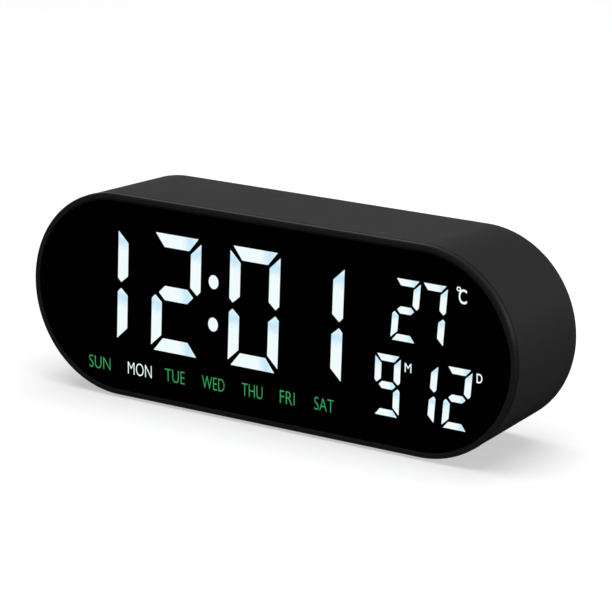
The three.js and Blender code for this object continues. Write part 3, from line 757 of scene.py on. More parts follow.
def end_steps():
    """How many steps each half-round end has."""
    return bpy.context.scene.clock_sizes.end_steps


def tint(name):
    """One of the clock's colours."""
    return tuple(getattr(bpy.context.scene.clock_colours, name))


# ------------------------------------------------------------------ front of the clock
LENS_RADIUS = END_RADIUS - RIM_WIDTH - SLIP
lens_low, lens_high = node_box("front_lens")
lens_front, lens_back = lens_low.y, lens_high.y
SPIGOT_RADIUS = outer_radius(HOUSING_FRONT) - WALL - GAP
SPIGOT_INNER = SPIGOT_RADIUS - SPIGOT_WALL
WEB_HALF = 0.8  # half the thickness of the web beside a boss


def frame_boss(node):
    """A screw boss behind the window's ledge, with the web that ties it to the ring."""
    middle = node_middle(node)
    side = math.copysign(1, middle.x)
    out = Vector((middle.x - side * STRAIGHT, middle.z))
    reach = SPIGOT_INNER - out.length + SPIGOT_WALL / 2
    front = node_box("light_guide")[0].y
    boss = rod(middle.x, middle.z, BOSS_RADIUS, front, BOSS_END)
    web = slab((0, front, -WEB_HALF), (reach, BAND_DEPTH + SPIGOT_LENGTH, WEB_HALF))
    turn = Matrix.Rotation(-math.atan2(out.y, out.x), 3, "Y")
    bmesh.ops.rotate(web, verts=web.verts, matrix=turn)
    bmesh.ops.translate(web, verts=web.verts, vec=(middle.x, 0, middle.z))
    return boss, web


class CLOCK_OT_front_frame(bpy.types.Operator):
    """Front band, window ledge and screw bosses"""

    bl_idname = "clock.front_frame"
    bl_label = "Front frame"

    def execute(self, context):
        pocket = END_RADIUS - RIM_WIDTH
        groove = END_RADIUS - PARTING_FLOOR
        ledge = lens_back + 0.1
        spigot_end = BAND_DEPTH + SPIGOT_LENGTH
        profile = rounded(
            [
                (groove, HOUSING_FRONT - 0.1),
                (groove, BAND_DEPTH, 0.08),
                (END_RADIUS, BAND_DEPTH, 0.15),
                (END_RADIUS, 0, size("band_break")),
                (pocket, 0, 0.12),
                (pocket, ledge, 0.05),
                (SPIGOT_INNER, ledge, 0.15),
                (SPIGOT_INNER, spigot_end, 0.2),
                (SPIGOT_RADIUS, spigot_end, 0.3),
                (SPIGOT_RADIUS, HOUSING_FRONT - 0.1),
            ]
        )
        ring = sweep(profile, STRAIGHT, steps=end_steps(), closed=True)
        added = [shape for node in SCREWS for shape in frame_boss(node)]
        holes = []
        for node in SCREWS:
            middle, tip = node_middle(node), node_box(node)[0].y
            holes.append(rod(middle.x, middle.z, SCREW_HOLE, tip - 1, BOSS_END + 1, 12))
        material = moulded_plastic("band_plastic", tint("band"), 5200.0, 5e-6, 0.36)
        bm = worked(ring, added, holes)
        add_piece("front_band", bm, material, "case", ["front_frame"])
        return {"FINISHED"}


class CLOCK_OT_window(bpy.types.Operator):
    """Smoked window over the display"""

    bl_idname = "clock.window"
    bl_label = "Display window"

    def execute(self, context):
        profile = rounded(
            [
                (LENS_RADIUS - FLAT_START, lens_front),
                (LENS_RADIUS, lens_front, 0.2),
                (LENS_RADIUS, lens_back, 0.1),
                (LENS_RADIUS - FLAT_START, lens_back),
            ]
        )
        bm = sweep(profile, STRAIGHT, steps=end_steps())
        material = window_finish(tint("window"))
        add_piece("display_window", bm, material, "case", ["front_lens"])
        return {"FINISHED"}


# ------------------------------------------------------------------ lit display
class Digit:
    """A seven-segment digit: the widths of its upright and level bars, and its gaps."""

    def __init__(self, width, height, upright, level, corner, middle, lean):
        self.width = width
        self.height = height
        self.upright = upright
        self.level = level
        self.corner = corner
        self.middle = middle
        self.slope = math.tan(math.radians(lean))

    def segment(self, letter):
        """A segment's outline in the digit's own cell, before it leans."""
        half = self.height / 2
        inset = 0.73 * self.corner
        mitre = inset + 0.8 * self.level
        tip = 0.69 * self.upright
        rise = 0.54 * self.level
        top = self.height - self.corner
        inner_top = top - 0.94 * self.upright
        low = half + self.middle
        if letter == "g":
            points = [
                (tip, half),
                (tip + rise, half - rise),
                (self.width - tip - rise, half - rise),
                (self.width - tip, half),
                (self.width - tip - rise, half + rise),
                (tip + rise, half + rise),
            ]
        elif letter in "ad":
            points = [
                (inset, self.height),
                (mitre, self.height - self.level),
                (self.width - mitre, self.height - self.level),
                (self.width - inset, self.height),
            ]
        else:
            points = [
                (0, top),
                (self.upright, inner_top),
                (self.upright, low + 0.56 * self.upright),
                (self.upright / 3, low),
                (0, low + self.upright / 3),
            ]
        if letter in "bc":
            points = [(self.width - x, z) for x, z in points]
        if letter in "cde":
            points = [(x, self.height - z) for x, z in points]
        return points

    def tile(self, letter, x, z):
        """One lit segment, mapped along its length."""
        outline = self.segment(letter)
        points = [(x + u + self.slope * v, z + v) for u, v in outline]
        bm = outline_tile(points, lens_front - TILE_THICK, lens_front, 0.12)
        axis = 0 if letter in "adg" else 2
        values = [v.co[axis] for v in bm.verts]
        return map_along(bm, axis, min(values), max(values))


BIG = Digit(16.7, 34.3, 3.5, 3.85, 1.37, 0.86, 2.2)
LEANING = Digit(8.05, 17.2, 2, 1.85, 0.72, 0.55, 4.9)
STEADY = Digit(8.05, 17.2, 2, 1.85, 0.72, 0.55, 2.2)
# Each group: its name, then each digit's style, lower left corner and lit segments.
LIT_DIGITS = [
    ("hours", [(BIG, -50.67, -13.91, "ef"), (BIG, -38.66, -13.91, "abged")]),
    ("minutes", [(BIG, -12.13, -13.91, "abcdef"), (BIG, 8.68, -13.91, "bc")]),
    ("temperature", [(LEANING, 41.23, 2.02, "abged"), (LEANING, 49.58, 2.02, "abc")]),
    ("month", [(STEADY, 35.98, -19.62, "abcdfg")]),
    ("date", [(LEANING, 46.93, -19.62, "bc"), (LEANING, 57.48, -19.62, "abged")]),
]
COLON_PLACES = [(-16.69, 8.93), (-16.99, -3.29)]
COLON_RADII = (1.65, 2)
# The degree ring's middle, and its inner and outer radius.
DEGREE_PLACE = (62.36, 19.1)
DEGREE_RADII = (0.36, 0.66)
# Each unit letter: its middle, its width and height, and how much its strokes are thinned or,
# below zero, thickened.
UNIT_LETTERS = [
    ("C", (63.61, 17.2), 2.5, 4.05, -0.012),
    ("M", (46.94, -5.04), 2.1, 2.55, 0),
    ("D", (69.07, -4.24), 1.8, 2.6, -0.012),
]


def oval_tile(x, z, radii):
    """A lit dot, in one tone."""
    bm = rod(0, 0, 1, lens_front - TILE_THICK, lens_front, 20)
    bmesh.ops.scale(bm, verts=bm.verts, vec=(radii[0], 1, radii[1]))
    bmesh.ops.translate(bm, verts=bm.verts, vec=(x, 0, z))
    return map_along(bm, 2, z - 4 * radii[1], z + 4 * radii[1])


class CLOCK_OT_digits(bpy.types.Operator):
    """Lit digits, colon and small letters of the display"""

    bl_idname = "clock.digits"
    bl_label = "Lit digits"

    def execute(self, context):
        glow = glow_finish("digit_glow", tint("digit"), tint("digit_edge"), 1.0)
        for name, digits in LIT_DIGITS:
            tiles = [style.tile(letter, x, z) for style, x, z, lit in digits for letter in lit]
            add_piece(f"digits_{name}", gathered(tiles), glow, "case")
        dots = [oval_tile(x, z, COLON_RADII) for x, z in COLON_PLACES]
        add_piece("colon_dots", gathered(dots), glow, "case")

        front = lens_front - TILE_THICK
        hole, radius = DEGREE_RADII
        marks = [rod(*DEGREE_PLACE, radius, front, lens_front, hole=hole)]
        for letter, centre, width, height, thin in UNIT_LETTERS:
            marks.append(text_shape(letter, centre, width, height, front, lens_front, thin))
        # Mapped over far more than their height, so they keep nearly one tone.
        marks = map_along(gathered(marks), 2, -40, 60)
        add_piece("unit_letters", marks, glow, "case")
        return {"FINISHED"}


# Each day's name, with its middle and width along the row.
DAYS = [
    ("SUN", -57.02, 7.6),
    ("MON", -42.74, 8.4),
    ("TUE", -30.38, 6.9),
    ("WED", -17.11, 7.7),
    ("THU", -3.85, 7.0),
    ("FRI", 7.91, 4.9),
    ("SAT", 20.07, 6.4),
]
TODAY = "MON"
DAY_ROW = -20.47
DAY_HEIGHT = 3.7
DAY_SLOPE = 0.011  # rise along the row
DAY_THIN = 0.012


class CLOCK_OT_day_names(bpy.types.Operator):
    """Row of day names, with today's in white"""

    bl_idname = "clock.day_names"
    bl_label = "Day names"

    def execute(self, context):
        green, white = tint("day"), tint("digit")
        glows = {
            False: glow_finish("day_glow", green, shade(green, 0.75), 1.0),
            True: glow_finish("today_glow", white, shade(white, 0.9), 1.0),
        }
        middle = DAYS[3][1]
        front = lens_front - TILE_THICK
        for name, x, width in DAYS:
            z = DAY_ROW + DAY_SLOPE * (x - middle)
            bm = text_shape(name, (x, z), width, DAY_HEIGHT, front, lens_front, DAY_THIN)
            map_along(bm, 0, x - width, x + width)
            glow = glows[name == TODAY]
            add_piece(f"day_{name.lower()}", bm, glow, "case")
        return {"FINISHED"}


# ------------------------------------------------------------------ housing
door_low, door_high = node_box("battery_door")
door_middle = node_middle("battery_door").x
door_half = (door_high.x - door_low.x) / 2
door_top = -door_low.z
HINGE_UP = door_top + SLIP
DOOR_THICK = 1.6
DOOR_FRONT = PANEL_BACK - DOOR_THICK
DOOR_LAP = 2.5
DOOR_SEAT = 1.65  # thickness of the ledge under the cover's edge
DOOR_RIM = 1  # how far the ledge's wall reaches past the cover
COVER_EDGE = 0.28
FINGER_HALF = 7  # half the finger scoop's width
FINGER_REACH = 3
RIB_COUNT = 5
RIB_PITCH = 1.6
RIB_START = 3.2  # from the cover's lower edge to the first rib
ARROW_TIP = 11.4  # from the cover's lower edge
ARROW_BASE = 13.6
ARROW_HALF = 1.7
TAB_WIDTH = 7
TAB_THICK = 1.2
TAB_POCKET = 3.6  # depth of the space where a tab swings
TAB_ROOM = 1.85  # how far that space reaches past the hinge line
TAB_INSET = 10  # from the cover's end to the middle of a tab
BAY_LEFT = door_middle - door_half + DOOR_LAP
BAY_RIGHT = door_middle + door_half - DOOR_LAP
BAY_HALF = door_top - DOOR_LAP
BAY_WALL = 1.2
WELL_WALL = 1.2
BOARD_POST = 2.6
BOARD_HOLE = 1.1
bay_bottom = node_box(CELLS[0])[0].y - GAP
board_back = node_box("main_board")[1].y


def flared(start, radius, bottom, chamfer):
    """A cutter's profile that opens out at the rear panel's face."""
    return [
        (start, bottom),
        (radius, bottom),
        (radius, PANEL_BACK - chamfer),
        (radius + 2 * chamfer, PANEL_BACK + chamfer),
        (start, PANEL_BACK + chamfer),
    ]


def round_hole(x, z, radius, bottom, chamfer):
    """A cutter for a round hole in the rear panel."""
    return sweep(flared(0, radius, bottom, chamfer), centre=(x, z), steps=24)


def long_hole(x, z, width, height, bottom, chamfer, upright=False):
    """A cutter for a pill-shaped hole in the rear panel."""
    radius = min(width, height) / 2
    straight = max(width, height) / 2 - radius
    profile = flared(0.4 * radius, radius, bottom, chamfer)
    return sweep(profile, straight, (x, z), 10, upright=upright)


def slot_row(node, count):
    """Cutters for a row of upright slots behind a piece."""
    middle = node_middle(node)
    return [
        long_hole(
            middle.x + (i - (count - 1) / 2) * SLOT_PITCH,
            LOW_ROW,
            SLOT_WIDTH,
            SLOT_LENGTH,
            PANEL_FRONT - 1,
            size("hole_break"),
            upright=True,
        )
        for i in range(count)
    ]


def tab_places():
    """The middles of the cover's two hinge tabs."""
    reach = door_half - TAB_INSET
    return [door_middle - reach, door_middle + reach]


def bay_cutters():
    """The bay itself, the cover's seat, the finger scoop and the tabs' slots."""
    seat = DOOR_FRONT - SLIP
    across, high = door_half + SLIP, door_top + SLIP
    bay = slab((BAY_LEFT, bay_bottom, -BAY_HALF), (BAY_RIGHT, DEPTH, BAY_HALF), 0.8, 4, 1)
    corner = size("cover_corner") + SLIP
    recess = slab(
        (door_middle - across, seat, -high), (door_middle + across, DEPTH, high), corner, 6, 1
    )
    scoop = slab(
        (door_middle - FINGER_HALF, PANEL_BACK - REAR_RECESS, -high - FINGER_REACH),
        (door_middle + FINGER_HALF, DEPTH + 2, -high + FINGER_REACH),
        1.1,
        5,
    )
    shapes = [bay, recess, scoop]
    for x in tab_places():
        half = TAB_WIDTH / 2 + 2 * GAP
        front = PANEL_FRONT - TAB_POCKET
        low = BAY_HALF - OVERLAP
        shapes.append(slab((x - half, front, low), (x + half, PANEL_FRONT, HINGE_UP + TAB_ROOM)))
        shapes.append(slab((x - half, front, low), (x + half, seat + 0.1, HINGE_UP)))
    return shapes


class CLOCK_OT_rear_housing(bpy.types.Operator):
    """Drafted housing with its rear panel, battery bay, posts and openings"""

    bl_idname = "clock.rear_housing"
    bl_label = "Rear housing"

    def execute(self, context):
        chamfer = size("hole_break")
        front = outer_radius(HOUSING_FRONT)
        inner_back = outer_radius(PANEL_FRONT) - WALL
        rim = REAR_RADIUS - REAR_RIM
        profile = rounded(
            [
                (inner_back - FLAT_START, PANEL_FRONT),
                (inner_back, PANEL_FRONT, 0.6),
                (front - WALL, HOUSING_FRONT, 0.1),
                (front, HOUSING_FRONT, 0.18),
                (REAR_RADIUS, DEPTH, size("rear_round")),
                (rim, DEPTH, 0.35),
                (rim, PANEL_BACK, 0.3),
                (rim - 1, PANEL_BACK),
            ],
            6,
        )
        cup = sweep(profile, STRAIGHT, steps=end_steps())

        wall_end = PANEL_FRONT + OVERLAP
        low = (BAY_LEFT - BAY_WALL, bay_bottom - BAY_WALL, -BAY_HALF - BAY_WALL)
        high = (BAY_RIGHT + BAY_WALL, wall_end, BAY_HALF + BAY_WALL)
        rim_x, rim_z = door_half + SLIP + DOOR_RIM, door_top + SLIP + DOOR_RIM
        rim_front = DOOR_FRONT - SLIP - DOOR_SEAT
        added = [
            slab(low, high, 1.0, 3, 1),
            slab(
                (door_middle - rim_x, rim_front, -rim_z),
                (door_middle + rim_x, wall_end, rim_z),
                1.0,
                3,
                1,
            ),
        ]
        removed = bay_cutters()
        for node in SCREWS:
            (screw_low, screw_high), middle = node_box(node), node_middle(node)
            well = (screw_high.x - screw_low.x) / 2 + GAP
            well_floor = screw_high.y - SCREW_HEAD - GAP
            added.append(rod(middle.x, middle.z, well + WELL_WALL, BOSS_END + GAP, wall_end))
            removed.append(round_hole(middle.x, middle.z, well, well_floor, chamfer))
            removed.append(rod(middle.x, middle.z, SCREW_HOLE, BOSS_END, DEPTH + 1, 24))
        for node in BOARD_SCREWS:
            middle = node_middle(node)
            added.append(rod(middle.x, middle.z, BOARD_POST, board_back + 0.1, wall_end))
            removed.append(rod(middle.x, middle.z, BOARD_HOLE, board_back - 1, PANEL_FRONT - 1))
        for node in KEYS:
            middle = node_middle(node)
            hole = round_hole(middle.x, middle.z, KEY_RADIUS + GAP, PANEL_FRONT - 1, chamfer)
            removed.append(hole)
        for node in FEET:
            foot_low, foot_high = node_box(node)
            radius = (foot_high.x - foot_low.x) / 2 + SLIP
            middle = node_middle(node)
            centre = (middle.x, middle.y, foot_high.z + 0.1 - 20)
            removed.append(stood_up(rod(0, 0, radius, 0, 20, 24), centre))
        socket_low, socket_high = node_box("usb_socket")
        socket = node_middle("usb_socket")
        removed.append(
            long_hole(
                socket.x,
                socket.z,
                socket_high.x - socket_low.x + 2 * SLIP,
                socket_high.z - socket_low.z + 2 * SLIP,
                PANEL_FRONT - 1,
                chamfer,
            )
        )
        removed += slot_row("buzzer", SOUND_SLOTS) + slot_row("temperature_sensor", AIR_SLOTS)
        material = moulded_plastic("shell_plastic", tint("shell"), 3400.0, 1.1e-5, 0.44, 0.08)
        bm = worked(cup, added, removed)
        add_piece("housing", bm, material, "case", ["rear_housing"])
        return {"FINISHED"}


class CLOCK_OT_battery_cover(bpy.types.Operator):
    """Battery cover with its hinge tabs and finger ribs"""

    bl_idname = "clock.battery_cover"
    bl_label = "Battery cover"

    def execute(self, context):
        skin = cushioned(
            (door_middle - door_half, DOOR_FRONT, -door_top),
            (door_middle + door_half, PANEL_BACK, door_top),
            size("cover_corner"),
            COVER_EDGE,
        )
        tab_back = PANEL_FRONT - 0.2
        tab_front = tab_back - TAB_THICK
        tab_low = HINGE_UP - DOOR_LAP + 0.6
        added = []
        for x in tab_places():
            left, right = x - TAB_WIDTH / 2, x + TAB_WIDTH / 2
            added.append(slab((left, tab_front, tab_low), (right, tab_back, door_high.z), 0.2))
            added.append(
                slab((left, tab_front, tab_low), (right, DOOR_FRONT + 0.1, HINGE_UP - 0.45))
            )
        removed = []
        for i in range(RIB_COUNT):
            z = -door_top + RIB_START + RIB_PITCH * i
            removed.append(
                slab((door_middle - 5, PANEL_BACK - 0.35, z - 0.4),
                     (door_middle + 5, PANEL_BACK + 1, z + 0.4), 0.28, 4)
            )
        arrow = [
            (door_middle - ARROW_HALF, -door_top + ARROW_BASE),
            (door_middle + ARROW_HALF, -door_top + ARROW_BASE),
            (door_middle, -door_top + ARROW_TIP),
        ]
        removed.append(outline_tile(arrow, PANEL_BACK - 0.3, PANEL_BACK + 1))
        material = moulded_plastic("cover_plastic", tint("shell"), 3400.0, 1.1e-5, 0.42, 0.1)
        bm = worked(skin, added, removed)
        add_piece("battery_cover", bm, material, "door", ["battery_door"])
        return {"FINISHED"}


# ------------------------------------------------------------------ keys
STEM_RADIUS = 1.5
FLANGE_THICK = 0.8


def bars(x, z, front, back, places):
    """Narrow bars, each given by its start, its end and its width."""
    shapes = []
    for start, end, width in places:
        start, end = Vector(start), Vector(end)
        way = (end - start).normalized()
        side = Vector((-way.y, way.x)) * width / 2
        corners = [start + side, start - side, end - side, end + side]
        shapes.append(outline_tile([(x + c.x, z + c.y) for c in corners], front, back, 0.04))
    return shapes


def key_mark(number, x, z, front, back):
    """The printed mark on a key: clock, down, up, bell and light."""
    if number == 0:
        hands = [((0, 0), (0, 0.95), 0.3), ((0, 0), (0.7, 0), 0.3)]
        return [rod(x, z, 1.65, front, back, hole=1.35)] + bars(x, z, front, back, hands)
    if number in (1, 2):
        up = 1 if number == 2 else -1
        points = [(x - 1.5, z - up * 0.9), (x + 1.5, z - up * 0.9), (x, z + up * 1.4)]
        return [outline_tile(points, front, back, 0.15)]
    if number == 3:
        dome = [(-1.15, -0.75), (1.15, -0.75), (0.85, -0.2), (0.8, 0.6), (0.45, 1.15), (0, 1.35)]
        dome += [(-0.45, 1.15), (-0.8, 0.6), (-0.85, -0.2)]
        bell = outline_tile([(x + u, z + v) for u, v in dome], front, back, 0.1)
        return [bell, rod(x, z - 1.2, 0.32, front, back)]
    rays = []
    for i in range(8):
        way = Vector((math.cos(i * math.pi / 4), math.sin(i * math.pi / 4)))
        rays.append((way * 1.15, way * 1.7, 0.28))
    return [rod(x, z, 0.8, front, back)] + bars(x, z, front, back, rays)


class CLOCK_OT_keys(bpy.types.Operator):
    """Five round keys with dished tops and printed marks"""

    bl_idname = "clock.keys"
    bl_label = "Keys"

    def execute(self, context):
        material = moulded_plastic("key_plastic", tint("band"), 4200.0, 7e-6, 0.42)
        ink = plain_finish("mark_ink", (0.62, 0.62, 0.62), 0.55, 5000.0)
        flange_back = PANEL_FRONT - SLIP
        flange_front = flange_back - FLANGE_THICK
        for i, node in enumerate(KEYS):
            (low, high), middle = node_box(node), node_middle(node)
            flange = (high.x - low.x) / 2
            top, dished = high.y, high.y - size("key_dish")
            profile = rounded(
                [
                    (0, low.y),
                    (STEM_RADIUS, low.y, 0.15),
                    (STEM_RADIUS, flange_front),
                    (flange, flange_front, 0.1),
                    (flange, flange_back, 0.1),
                    (KEY_RADIUS, flange_back),
                    (KEY_RADIUS, top, 0.42),
                    (KEY_RADIUS - 0.7, top, 0.2),
                    (0.375 * KEY_RADIUS, dished, 0.3),
                    (0, dished),
                ]
            )
            bm = sweep(profile, centre=(middle.x, middle.z), steps=28)
            add_piece(f"button_{i + 1}", bm, material, f"key_body_{i + 1}", [node])
            mark = gathered(key_mark(i, middle.x, middle.z, dished - 0.05, top - 0.02))
            add_piece(f"button_mark_{i + 1}", mark, ink, f"key_body_{i + 1}")
        return {"FINISHED"}


# ------------------------------------------------------------------ feet, screws, cells, contacts
CROSS_REACH = 1.45  # of a screw's cross slot, from its middle
CROSS_HALF = 0.3
CROSS_DEPTH = 1.1
NUB_RADIUS = 1.9  # of a cell's raised end
SPRING_TURNS = 3.5
SPRING_WIDE = 3.4
SPRING_NARROW = 2
PAD_HALF = 4  # half the width of a contact plate
PAD_THICK = 0.4
WIRE_SEAT = 0.3  # where a spring starts, in its plate
CONTACT_COUNT = 12  # along each side of the socket's tongue
CONTACT_PITCH = 0.5


class CLOCK_OT_feet(bpy.types.Operator):
    """Rubber feet pressed into the underside"""

    bl_idname = "clock.feet"
    bl_label = "Feet"

    def execute(self, context):
        material = rubber_finish(tint("rubber"))
        for i, node in enumerate(FEET):
            (low, high), middle = node_box(node), node_middle(node)
            radius = (high.x - low.x) / 2
            height = high.z - low.z
            profile = rounded(
                [
                    (0, 0.22),
                    (radius - 1.9, 0.22, 0.1),
                    (radius - 1.6, 0, 0.1),
                    (radius, 0, 0.45),
                    (radius, height, 0.1),
                    (0, height),
                ]
            )
            bm = stood_up(sweep(profile, steps=28), (middle.x, middle.y, low.z))
            add_piece(f"rubber_foot_{i + 1}", bm, material, "case", [node])
        return {"FINISHED"}


class CLOCK_OT_case_screws(bpy.types.Operator):
    """Cross-head screws deep in their wells"""

    bl_idname = "clock.case_screws"
    bl_label = "Case screws"

    def execute(self, context):
        material = steel_finish("screw_plating", (0.42, 0.42, 0.43), 0.38)
        for i, node in enumerate(SCREWS):
            (low, high), middle = node_box(node), node_middle(node)
            head = (high.x - low.x) / 2
            seat = high.y - SCREW_HEAD
            profile = rounded(
                [
                    (0, low.y),
                    (0.6 * SCREW_SHANK, low.y, 0.2),
                    (SCREW_SHANK, low.y + 1, 0.2),
                    (SCREW_SHANK, seat),
                    (head, seat, 0.15),
                    (head, seat + 1.08, 0.7),
                    (0.7 * head, high.y, 0.4),
                    (0, high.y),
                ]
            )
            bm = sweep(profile, centre=(middle.x, middle.z), steps=24)
            arms = []
            for wide, tall in ((CROSS_REACH, CROSS_HALF), (CROSS_HALF, CROSS_REACH)):
                arms.append(
                    slab((middle.x - wide, high.y - CROSS_DEPTH, middle.z - tall),
                         (middle.x + wide, high.y + 1, middle.z + tall), 0.08, 2, 1)
                )
            bm = worked(bm, removed=arms)
            add_piece(f"case_screw_{i + 1}", bm, material, "case", [node])
        return {"FINISHED"}


class CLOCK_OT_cells(bpy.types.Operator):
    """Three cells with printed sleeves and bare metal ends"""

    bl_idname = "clock.cells"
    bl_label = "Cells"

    def execute(self, context):
        material = jacket_finish(tint("sleeve"), (0.42, 0.2, 0.06))
        for i, node in enumerate(CELLS):
            (low, high), middle = node_box(node), node_middle(node)
            radius = (high.z - low.z) / 2
            reach = high.x - low.x
            flip = -1 if i % 2 else 1
            profile = rounded(
                [
                    (0, 0.15),
                    (radius - 1.4, 0.15, 0.1),
                    (radius - 1.2, 0, 0.1),
                    (radius - 0.35, 0, 0.25),
                    (radius - 0.3, 0.5, 0.1),
                    (radius, 0.6, 0.2),
                    (radius, reach - 1.25, 0.35),
                    (radius - 0.7, reach - 1, 0.15),
                    (NUB_RADIUS, reach - 1.05, 0.2),
                    (NUB_RADIUS, reach, 0.3),
                    (0, reach),
                ]
            )
            bm = map_along(sweep(profile, steps=32), 1, 0, reach)
            start = low.x if flip > 0 else high.x
            turn = Matrix.Rotation(-flip * math.pi / 2, 3, "Z")
            bmesh.ops.rotate(bm, verts=bm.verts, matrix=turn)
            bmesh.ops.translate(bm, verts=bm.verts, vec=(start, middle.y, middle.z))
            add_piece(f"cell_{i + 1}", bm, material, "case", [node])
        return {"FINISHED"}


def coil(turns, wire, start_radius, end_radius, reach):
    """A tapering spring along x, drawn as a round wire and then made a mesh."""
    curve = bpy.data.curves.new("wire", "CURVE")
    curve.dimensions = "3D"
    curve.bevel_depth = wire
    curve.bevel_resolution = 4
    curve.use_fill_caps = True
    count = int(turns * 24)
    spline = curve.splines.new("POLY")
    spline.points.add(count)
    for i, point in enumerate(spline.points):
        share = i / count
        angle = 2 * math.pi * turns * share
        radius = start_radius + (end_radius - start_radius) * share
        x = wire + (reach - 2 * wire) * share
        point.co = (x, radius * math.cos(angle), radius * math.sin(angle), 1)
    return drawn(curve)


class CLOCK_OT_contacts(bpy.types.Operator):
    """Spring and plate contacts at the ends of the cells"""

    bl_idname = "clock.contacts"
    bl_label = "Contacts"

    def execute(self, context):
        material = steel_finish("nickel_plating", (0.66, 0.65, 0.6), 0.32)
        for i in range(len(CELLS)):
            plate, spring = f"contact_plate_{i + 1}", f"contact_spring_{i + 1}"
            bm = slab(*node_box(plate), 1.0, 4, 0)
            add_piece(f"contact_pad_{i + 1}", bm, material, "case", [plate])

            (low, high), middle = node_box(spring), node_middle(spring)
            base = slab((0, -PAD_HALF, -PAD_HALF), (PAD_THICK, PAD_HALF, PAD_HALF), 1.0, 4, 0)
            reach = high.x - low.x - WIRE_SEAT
            wound = coil(SPRING_TURNS, WIRE_RADIUS, SPRING_WIDE, SPRING_NARROW, reach)
            bmesh.ops.translate(wound, verts=wound.verts, vec=(WIRE_SEAT, 0, 0))
            bm = gathered([base, wound])
            flipped = i % 2 == 1
            if flipped:
                turn = Matrix.Rotation(math.pi, 3, "Z")
                bmesh.ops.rotate(bm, verts=bm.verts, matrix=turn)
            place = (high.x if flipped else low.x, middle.y, middle.z)
            bmesh.ops.translate(bm, verts=bm.verts, vec=place)
            add_piece(f"contact_coil_{i + 1}", bm, material, "case", [spring])
        return {"FINISHED"}


class CLOCK_OT_socket(bpy.types.Operator):
    """Power socket shell, its tongue and its contacts"""

    bl_idname = "clock.socket"
    bl_label = "Power socket"

    def execute(self, context):
        (low, high), middle = node_box("usb_socket"), node_middle("usb_socket")
        radius = (high.z - low.z) / 2
        straight = (high.x - low.x) / 2 - radius
        floor = low.y + 1.2
        profile = rounded(
            [
                (0.5, floor),
                (radius - USB_SKIN, floor, 0.1),
                (radius - USB_SKIN, high.y, 0.14),
                (radius, high.y, 0.12),
                (radius, low.y, 0.1),
                (0.5, low.y),
            ]
        )
        bm = sweep(profile, straight, (middle.x, middle.z), 16)
        material = steel_finish("socket_plating", (0.58, 0.58, 0.57), 0.3)
        add_piece("socket_shell", bm, material, "case", ["usb_socket"])

        low, high = node_box("usb_tongue")
        tongue = slab(low, high, 0.12, 3)
        black = plain_finish("socket_resin", (0.012, 0.012, 0.013), 0.45, 4000.0)
        add_piece("socket_tongue", tongue, black, "case", ["usb_tongue"])

        pads = []
        for i in range(CONTACT_COUNT):
            x = middle.x + (i - (CONTACT_COUNT - 1) / 2) * CONTACT_PITCH
            for side in (low.z, high.z):
                pads.append(
                    slab((x - 0.12, high.y - 3.6, side - 0.03),
                         (x + 0.12, high.y - 0.5, side + 0.03))
                )
        gold = plain_finish("contact_gold", (0.72, 0.48, 0.16), 0.3, 6000.0, 1.0)
        add_piece("socket_contacts", gathered(pads), gold, "case")
        return {"FINISHED"}


# ------------------------------------------------------------------ inner parts
class CLOCK_OT_inner_parts(bpy.types.Operator):
    """Finishes for the boards and the parts on them"""

    bl_idname = "clock.inner_parts"
    bl_label = "Inner parts"

    def execute(self, context):
        film = plain_finish("film_diffuser", (0.78, 0.8, 0.81), 0.6, 1500.0)
        guide = plain_finish("guide_plastic", (0.8, 0.8, 0.77), 0.5, 1800.0)
        laminate = board_finish(tint("board"))
        chip = plain_finish("chip_resin", (0.014, 0.014, 0.015), 0.5, 5000.0)
        can = steel_finish("can_metal", (0.6, 0.6, 0.58), 0.35)
        steel = steel_finish("board_screw_plating", (0.48, 0.48, 0.48), 0.4)
        header = plain_finish("header_plastic", (0.72, 0.7, 0.62), 0.5, 2600.0)
        finishes = {
            "diffuser_film": film,
            "light_guide": guide,
            "display_board": laminate,
            "main_board": laminate,
            "controller_chip": chip,
            "buzzer": chip,
            "clock_crystal": can,
            "temperature_sensor": plain_finish("bead_glass", (0.02, 0.05, 0.16), 0.25, 900.0),
            "capacitor": sleeve_finish((0.02, 0.03, 0.1)),
            "cable_connector_front": header,
            "cable_connector_rear": header,
            "ribbon_cable": ribbon_finish((0.5, 0.5, 0.48)),
            "battery_lead_red": plain_finish("red_sleeve", (0.42, 0.02, 0.015), 0.4, 1600.0),
            "battery_lead_black": plain_finish("black_sleeve", (0.012, 0.012, 0.012), 0.4, 1600.0),
        }
        for node in BOARD_SCREWS:
            finishes[node] = steel
        for switch in numbered("tact_switch", len(KEYS)):
            finishes[switch] = can
        for plunger in numbered("switch_plunger", len(KEYS)):
            finishes[plunger] = chip
        for name, material in finishes.items():
            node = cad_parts[name]
            node.data.materials.clear()
            node.data.materials.append(material)
        return {"FINISHED"}


# ------------------------------------------------------------------ stage
CAMERA_PLACE = Vector((0.46434, -0.68149, 0.26104))  # in metres


